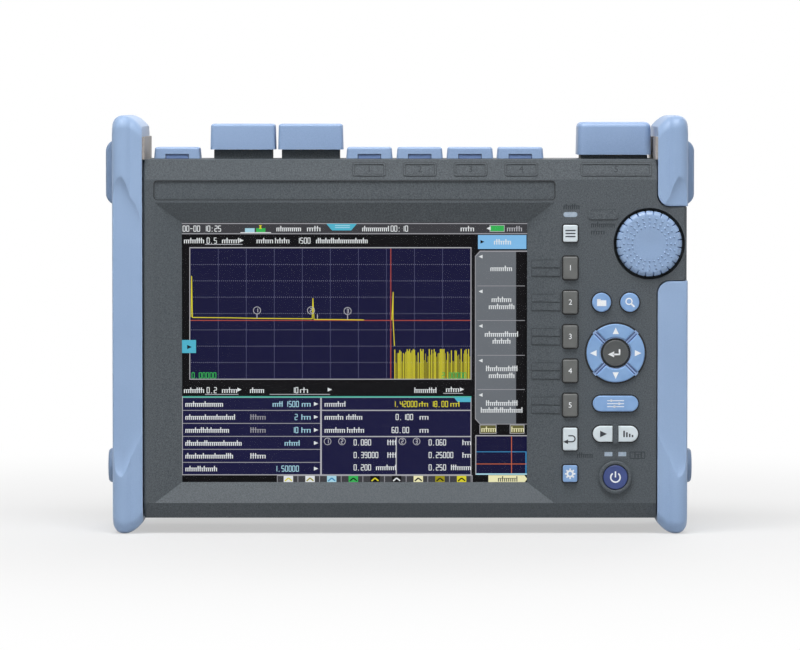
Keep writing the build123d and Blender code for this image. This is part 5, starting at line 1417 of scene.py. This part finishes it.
def between(inner, outer):
    """Quads between two outlines with the same count of points, step by step round them."""
    after = (np.arange(len(inner)) + 1) % len(inner)
    steps = np.hypot(*(outer[after] - outer).T) > 0
    return [np.array([inner[k], outer[k], outer[after[k]], inner[after[k]]]) for k in np.flatnonzero(steps)]


def edge_line(low, high, corner, width=EDGE_WIDTH):
    """A line just outside a rounded rectangle, as quads."""
    corners = (corner,) * 4
    return between(rounded(low, high, corners, 0.0), rounded(low, high, corners, width))


def make_key_gap_shadows():
    """Painted shadow: a narrow dark line round every key, as the shadow in its gap, and dark lines in the gaps
    of the d-pad.
    """
    sheet = Sheet("key_gap_shadows", face_y, "root", "case_grey", GAP_LAYER)
    for key, slot in KEY_SLOTS.items():
        if not key.startswith("key_") or key in ARROWS or key == "key_enter":
            continue
        low, high = cap_box(key)
        half = min(high - low) / 2
        corners = {
            "key_realtime": (COLUMN_CORNER, half, half, COLUMN_CORNER),
            "key_average": (half, COLUMN_CORNER, COLUMN_CORNER, half),
        }.get(key, (half if key in ROUND_KEYS else COLUMN_CORNER,) * 4)
        for outline in between(rounded(low, high, corners, 0.0), rounded(low, high, corners, GAP_WIDTH)):
            sheet.add(outline, black_shadow)
    x, z = middle_of("key_enter")[:2]
    for outline in arc_strokes(x, z, PAD_EDGE, 0, 360, PAD_EDGE_WIDTH, PAD_EDGE_STEPS):
        sheet.add(outline, black_shadow)
    sheet.build()
    # Painted shadow in the d-pad: a black ring in the gap round the enter key and navy lines beside each
    # diagonal rib
    lines = Sheet("dpad_shadow_lines", span("dpad_frame")[0][1], "root", "rib_blue", GAP_LAYER)
    for outline in arc_strokes(x, z, PAD_RING, 0, 360, PAD_RING_WIDTH, PAD_RING_STEPS):
        lines.add(outline, black_shadow)
    for degrees in (45, 135, 225, 315):
        along = np.array([math.cos(math.radians(degrees)), math.sin(math.radians(degrees))])
        across = np.array([-along[1], along[0]]) * (PAD_RIB - PAD_LINE) / 2
        for side in (-1, 1):
            start = [x, z] + along * (PAD_RING + PAD_RING_WIDTH / 2) + side * across
            end = [x, z] + along * PAD_RADIUS + side * across
            lines.add(stroke(*start, *end, PAD_LINE), navy_shadow)
    lines.build()


def make_face_shadow_lines():
    """Painted shadow: dark lines along the edges of the strip over the screen and of the frames pressed into
    the face.

    The strip's floor is where the front case lies STRIP_SINK behind the face, between the window's top
    and the brow.
    """
    points = points_of("front_case")
    above = points[:, 2] > span("display_glass")[1][2]
    below = points[:, 2] < span("front_case")[1][2] - BROW_RISE
    on_floor = np.abs(points[:, 1] - face_y - STRIP_SINK) < GAP_LAYER
    strip = points[above & below & on_floor][:, [0, 2]]
    sheet = Sheet("face_shadow_lines", face_y, "root", "case_grey", GAP_LAYER)
    for outline in edge_line(strip.min(axis=0), strip.max(axis=0), STRIP_CORNER):
        sheet.add(outline, black_shadow)
    frames = [(PUSH_FRAME, PUSH_CORNER)]
    for row in range(KEY_FRAME_ROWS):
        drop = row * KEY_FRAME_PITCH
        for left, top, right, bottom in KEY_FRAMES:
            frames.append(((left, top + drop, right, bottom + drop), KEY_FRAME_CORNER))
    for (left, top, right, bottom), corner in frames:
        low, high = on_photo(((left, bottom), (right, top)), face_y)
        for outline in edge_line(low, high, corner, FAINT_WIDTH):
            sheet.add(outline, edge_shadow)
    sheet.build()


def make_case_marks():
    """Rows of bars and a frame's lines on the face, painted shadow lines along the face's strip and pressed
    frames, and on the brow painted shadow lines round its frames with plain numbers.
    """
    sheet = Picture("face_marks", face_y, "root", "case_grey", GAP_LAYER, {"faint": faint_ink})
    for left, right, middle in FACE_BARS:
        sheet.bars(left, right, middle, "faint")
    left, top, right, bottom = FACE_FRAME
    for start, end in (
        ((left, top), (right, top)), ((right, top), (right, bottom)),
        ((right, bottom), (left, bottom)), ((left, bottom), (left, top)),
    ):
        sheet.line(start, end, LINE_WIDTH, "faint", 2)
    sheet.build()
    make_face_shadow_lines()
    lean = math.atan2(BROW_SETBACK, BROW_RISE)
    case_top = span("front_case")[1][2]
    z = case_top - BROW_TOP_DROP
    y = face_y + BROW_SETBACK / 2
    # Painted shadow: dark lines just outside and just inside each raised brow frame, where its edges lie in
    # shade
    lines = Sheet("brow_shadow_lines", y, "root", "case_grey", GAP_LAYER)
    for k, cover in enumerate(PORT_COVERS):
        x = middle_of(cover)[0]
        number = str(k + 1)
        name = "port_number_" + number
        lettering(name, number, x, y, z, NUMBER_TALL, faint_ink, "root", lean)
        width = OPTION_FRAME_WIDTH if cover == "cover_option" else BROW_FRAME_WIDTH
        half = np.array([width, BROW_FRAME_HEIGHT]) / 2
        centre = np.array([x, z])
        for outline in edge_line(centre - half, centre + half, BROW_FRAME_CORNER):
            lines.add(outline, edge_shadow)
        inner = half - BROW_FRAME_LINE - EDGE_WIDTH
        for outline in edge_line(centre - inner, centre + inner, BROW_FRAME_CORNER - BROW_FRAME_LINE):
            lines.add(outline, edge_shadow)
    lines.lean(z, BROW_SETBACK / BROW_RISE)
    lines.build()


def make_cover_notches():
    """Painted shade in each small cover's finger notch: a darker plate on the notch's floor, with a dark line
    of painted shadow over it and down its sides.
    """
    for cover in SMALL_COVERS:
        low, high = span(cover)
        x, z = (low[0] + high[0]) / 2, low[2] + COVER_NOTCH_HEIGHT / 2
        top = low[2] + COVER_NOTCH_HEIGHT
        sheet = Sheet(cover + "_grip", low[1] + COVER_NOTCH_DEPTH, cover, "cover_blue", GAP_LAYER)
        sheet.add(bar(x, z, COVER_NOTCH_WIDTH, COVER_NOTCH_HEIGHT), notch_shade)
        sheet.add(bar(x, top - COVER_LINE / 2, COVER_NOTCH_WIDTH, COVER_LINE), black_shadow, 2)
        for side in (-1, 1):
            edge = x + side * (COVER_NOTCH_WIDTH - COVER_LINE) / 2
            sheet.add(bar(edge, z, COVER_LINE, COVER_NOTCH_HEIGHT), black_shadow, 3)
        sheet.build()


# Stage and light, in metres and watts
FLOOR_REACH = 12.0
FLOOR_TONE = 0.6
FLOOR_SPREAD = 0.01
# The floor's own light as a share of pure white, which grows between two distances from the tester
GLOW_NEAR, GLOW_FAR = 0.10, 0.60
GLOW_LEAST, GLOW_MOST = 0.5, 1.0
WORLD_LIGHT = 0.12
LIGHT_TARGET = (0, 0, 0.1)
# Lamps: place, width, height and power
LAMPS = {
    "top_softbox": ((-0.15, -0.62, 1.45), 1.3, 0.7, 29),
    "front_softbox": ((-0.9, -1.9, 1.1), 1.2, 1.2, 2.5),
    "side_softbox": ((1.6, -0.9, 0.6), 0.7, 1.2, 3.5),
    "back_softbox": ((0.5, 1.8, 1.2), 1.2, 1.2, 9),
}


def grey(level):
    """A neutral colour of that level."""
    return (level, level, level, 1)


def make_stage():
    """White floor that keeps the tester's shadow near it and fades into the backdrop further off."""
    mesh = bpy.data.meshes.new("floor")
    corners = [(x * FLOOR_REACH, y * FLOOR_REACH, 0) for x, y in ((-1, -1), (1, -1), (1, 1), (-1, 1))]
    mesh.from_pydata(corners, [], [(0, 1, 2, 3)])
    floor = bpy.data.objects.new("floor", mesh)
    bpy.context.scene.collection.objects.link(floor)
    finish = Finish("floor_white", grey(FLOOR_TONE), 0.8)
    tone = finish.noise(6)
    finish.set("Base Color", finish.mix(tone, grey(FLOOR_TONE - FLOOR_SPREAD), grey(FLOOR_TONE + FLOOR_SPREAD)))
    distance = finish.node("ShaderNodeVectorMath", {"operation": "LENGTH"}, {0: finish.coordinates})
    away = Num(finish, distance.outputs["Value"])
    far = finish.steps(away, GLOW_NEAR, GLOW_FAR, GLOW_LEAST, GLOW_MOST)
    rays = finish.node("ShaderNodeLightPath").outputs
    seen = sum(Num(finish, rays[kind]) for kind in ("Is Camera Ray", "Is Glossy Ray", "Is Transmission Ray"))
    glow = finish.node("ShaderNodeEmission", {}, {"Color": (1, 1, 1, 1), "Strength": 1.0})
    blend = finish.node(
        "ShaderNodeMixShader", {}, {0: far * seen, 1: finish.shader.outputs[0], 2: glow.outputs[0]}
    )
    finish.tree.links.new(blend.outputs[0], finish.output.inputs[0])
    mesh.materials.append(finish.material)


def make_world():
    """White all round for the camera and for reflections, and a softer level as light."""
    world = bpy.data.worlds.new("studio")
    bpy.context.scene.world = world
    world.use_nodes = True
    tree = world.node_tree
    tree.nodes.clear()
    output = tree.nodes.new("ShaderNodeOutputWorld")
    rays = tree.nodes.new("ShaderNodeLightPath")
    seen = tree.nodes.new("ShaderNodeMath")
    seen.operation = "ADD"
    seen.use_clamp = True
    tree.links.new(rays.outputs["Is Camera Ray"], seen.inputs[0])
    through = tree.nodes.new("ShaderNodeMath")
    tree.links.new(rays.outputs["Is Transmission Ray"], through.inputs[0])
    tree.links.new(rays.outputs["Is Glossy Ray"], through.inputs[1])
    tree.links.new(through.outputs[0], seen.inputs[1])
    level = tree.nodes.new("ShaderNodeMapRange")
    level.inputs["To Min"].default_value = WORLD_LIGHT
    level.inputs["To Max"].default_value = 1.0
    tree.links.new(seen.outputs[0], level.inputs["Value"])
    back = tree.nodes.new("ShaderNodeBackground")
    back.inputs["Color"].default_value = (1, 1, 1, 1)
    tree.links.new(level.outputs[0], back.inputs["Strength"])
    tree.links.new(back.outputs[0], output.inputs[0])


def make_lamp(name, place, width, height, watts):
    """A soft rectangular lamp turned towards the tester."""
    data = bpy.data.lights.new(name, "AREA")
    data.shape = "RECTANGLE"
    data.size = width
    data.size_y = height
    data.energy = watts
    lamp = bpy.data.objects.new(name, data)
    lamp.location = place
    lamp.rotation_euler = (Vector(LIGHT_TARGET) - Vector(place)).to_track_quat("-Z", "Y").to_euler()
    bpy.context.scene.collection.objects.link(lamp)


make_camera()
make_stage()
make_world()
for lamp_name, lamp_values in LAMPS.items():
    make_lamp(lamp_name, *lamp_values)
bpy.context.scene.view_settings.view_transform = "Standard"

dress_nodes()
make_guards()
make_dial()
make_screen()
make_key_marks()
make_key_gap_shadows()
make_case_marks()
make_cover_notches()
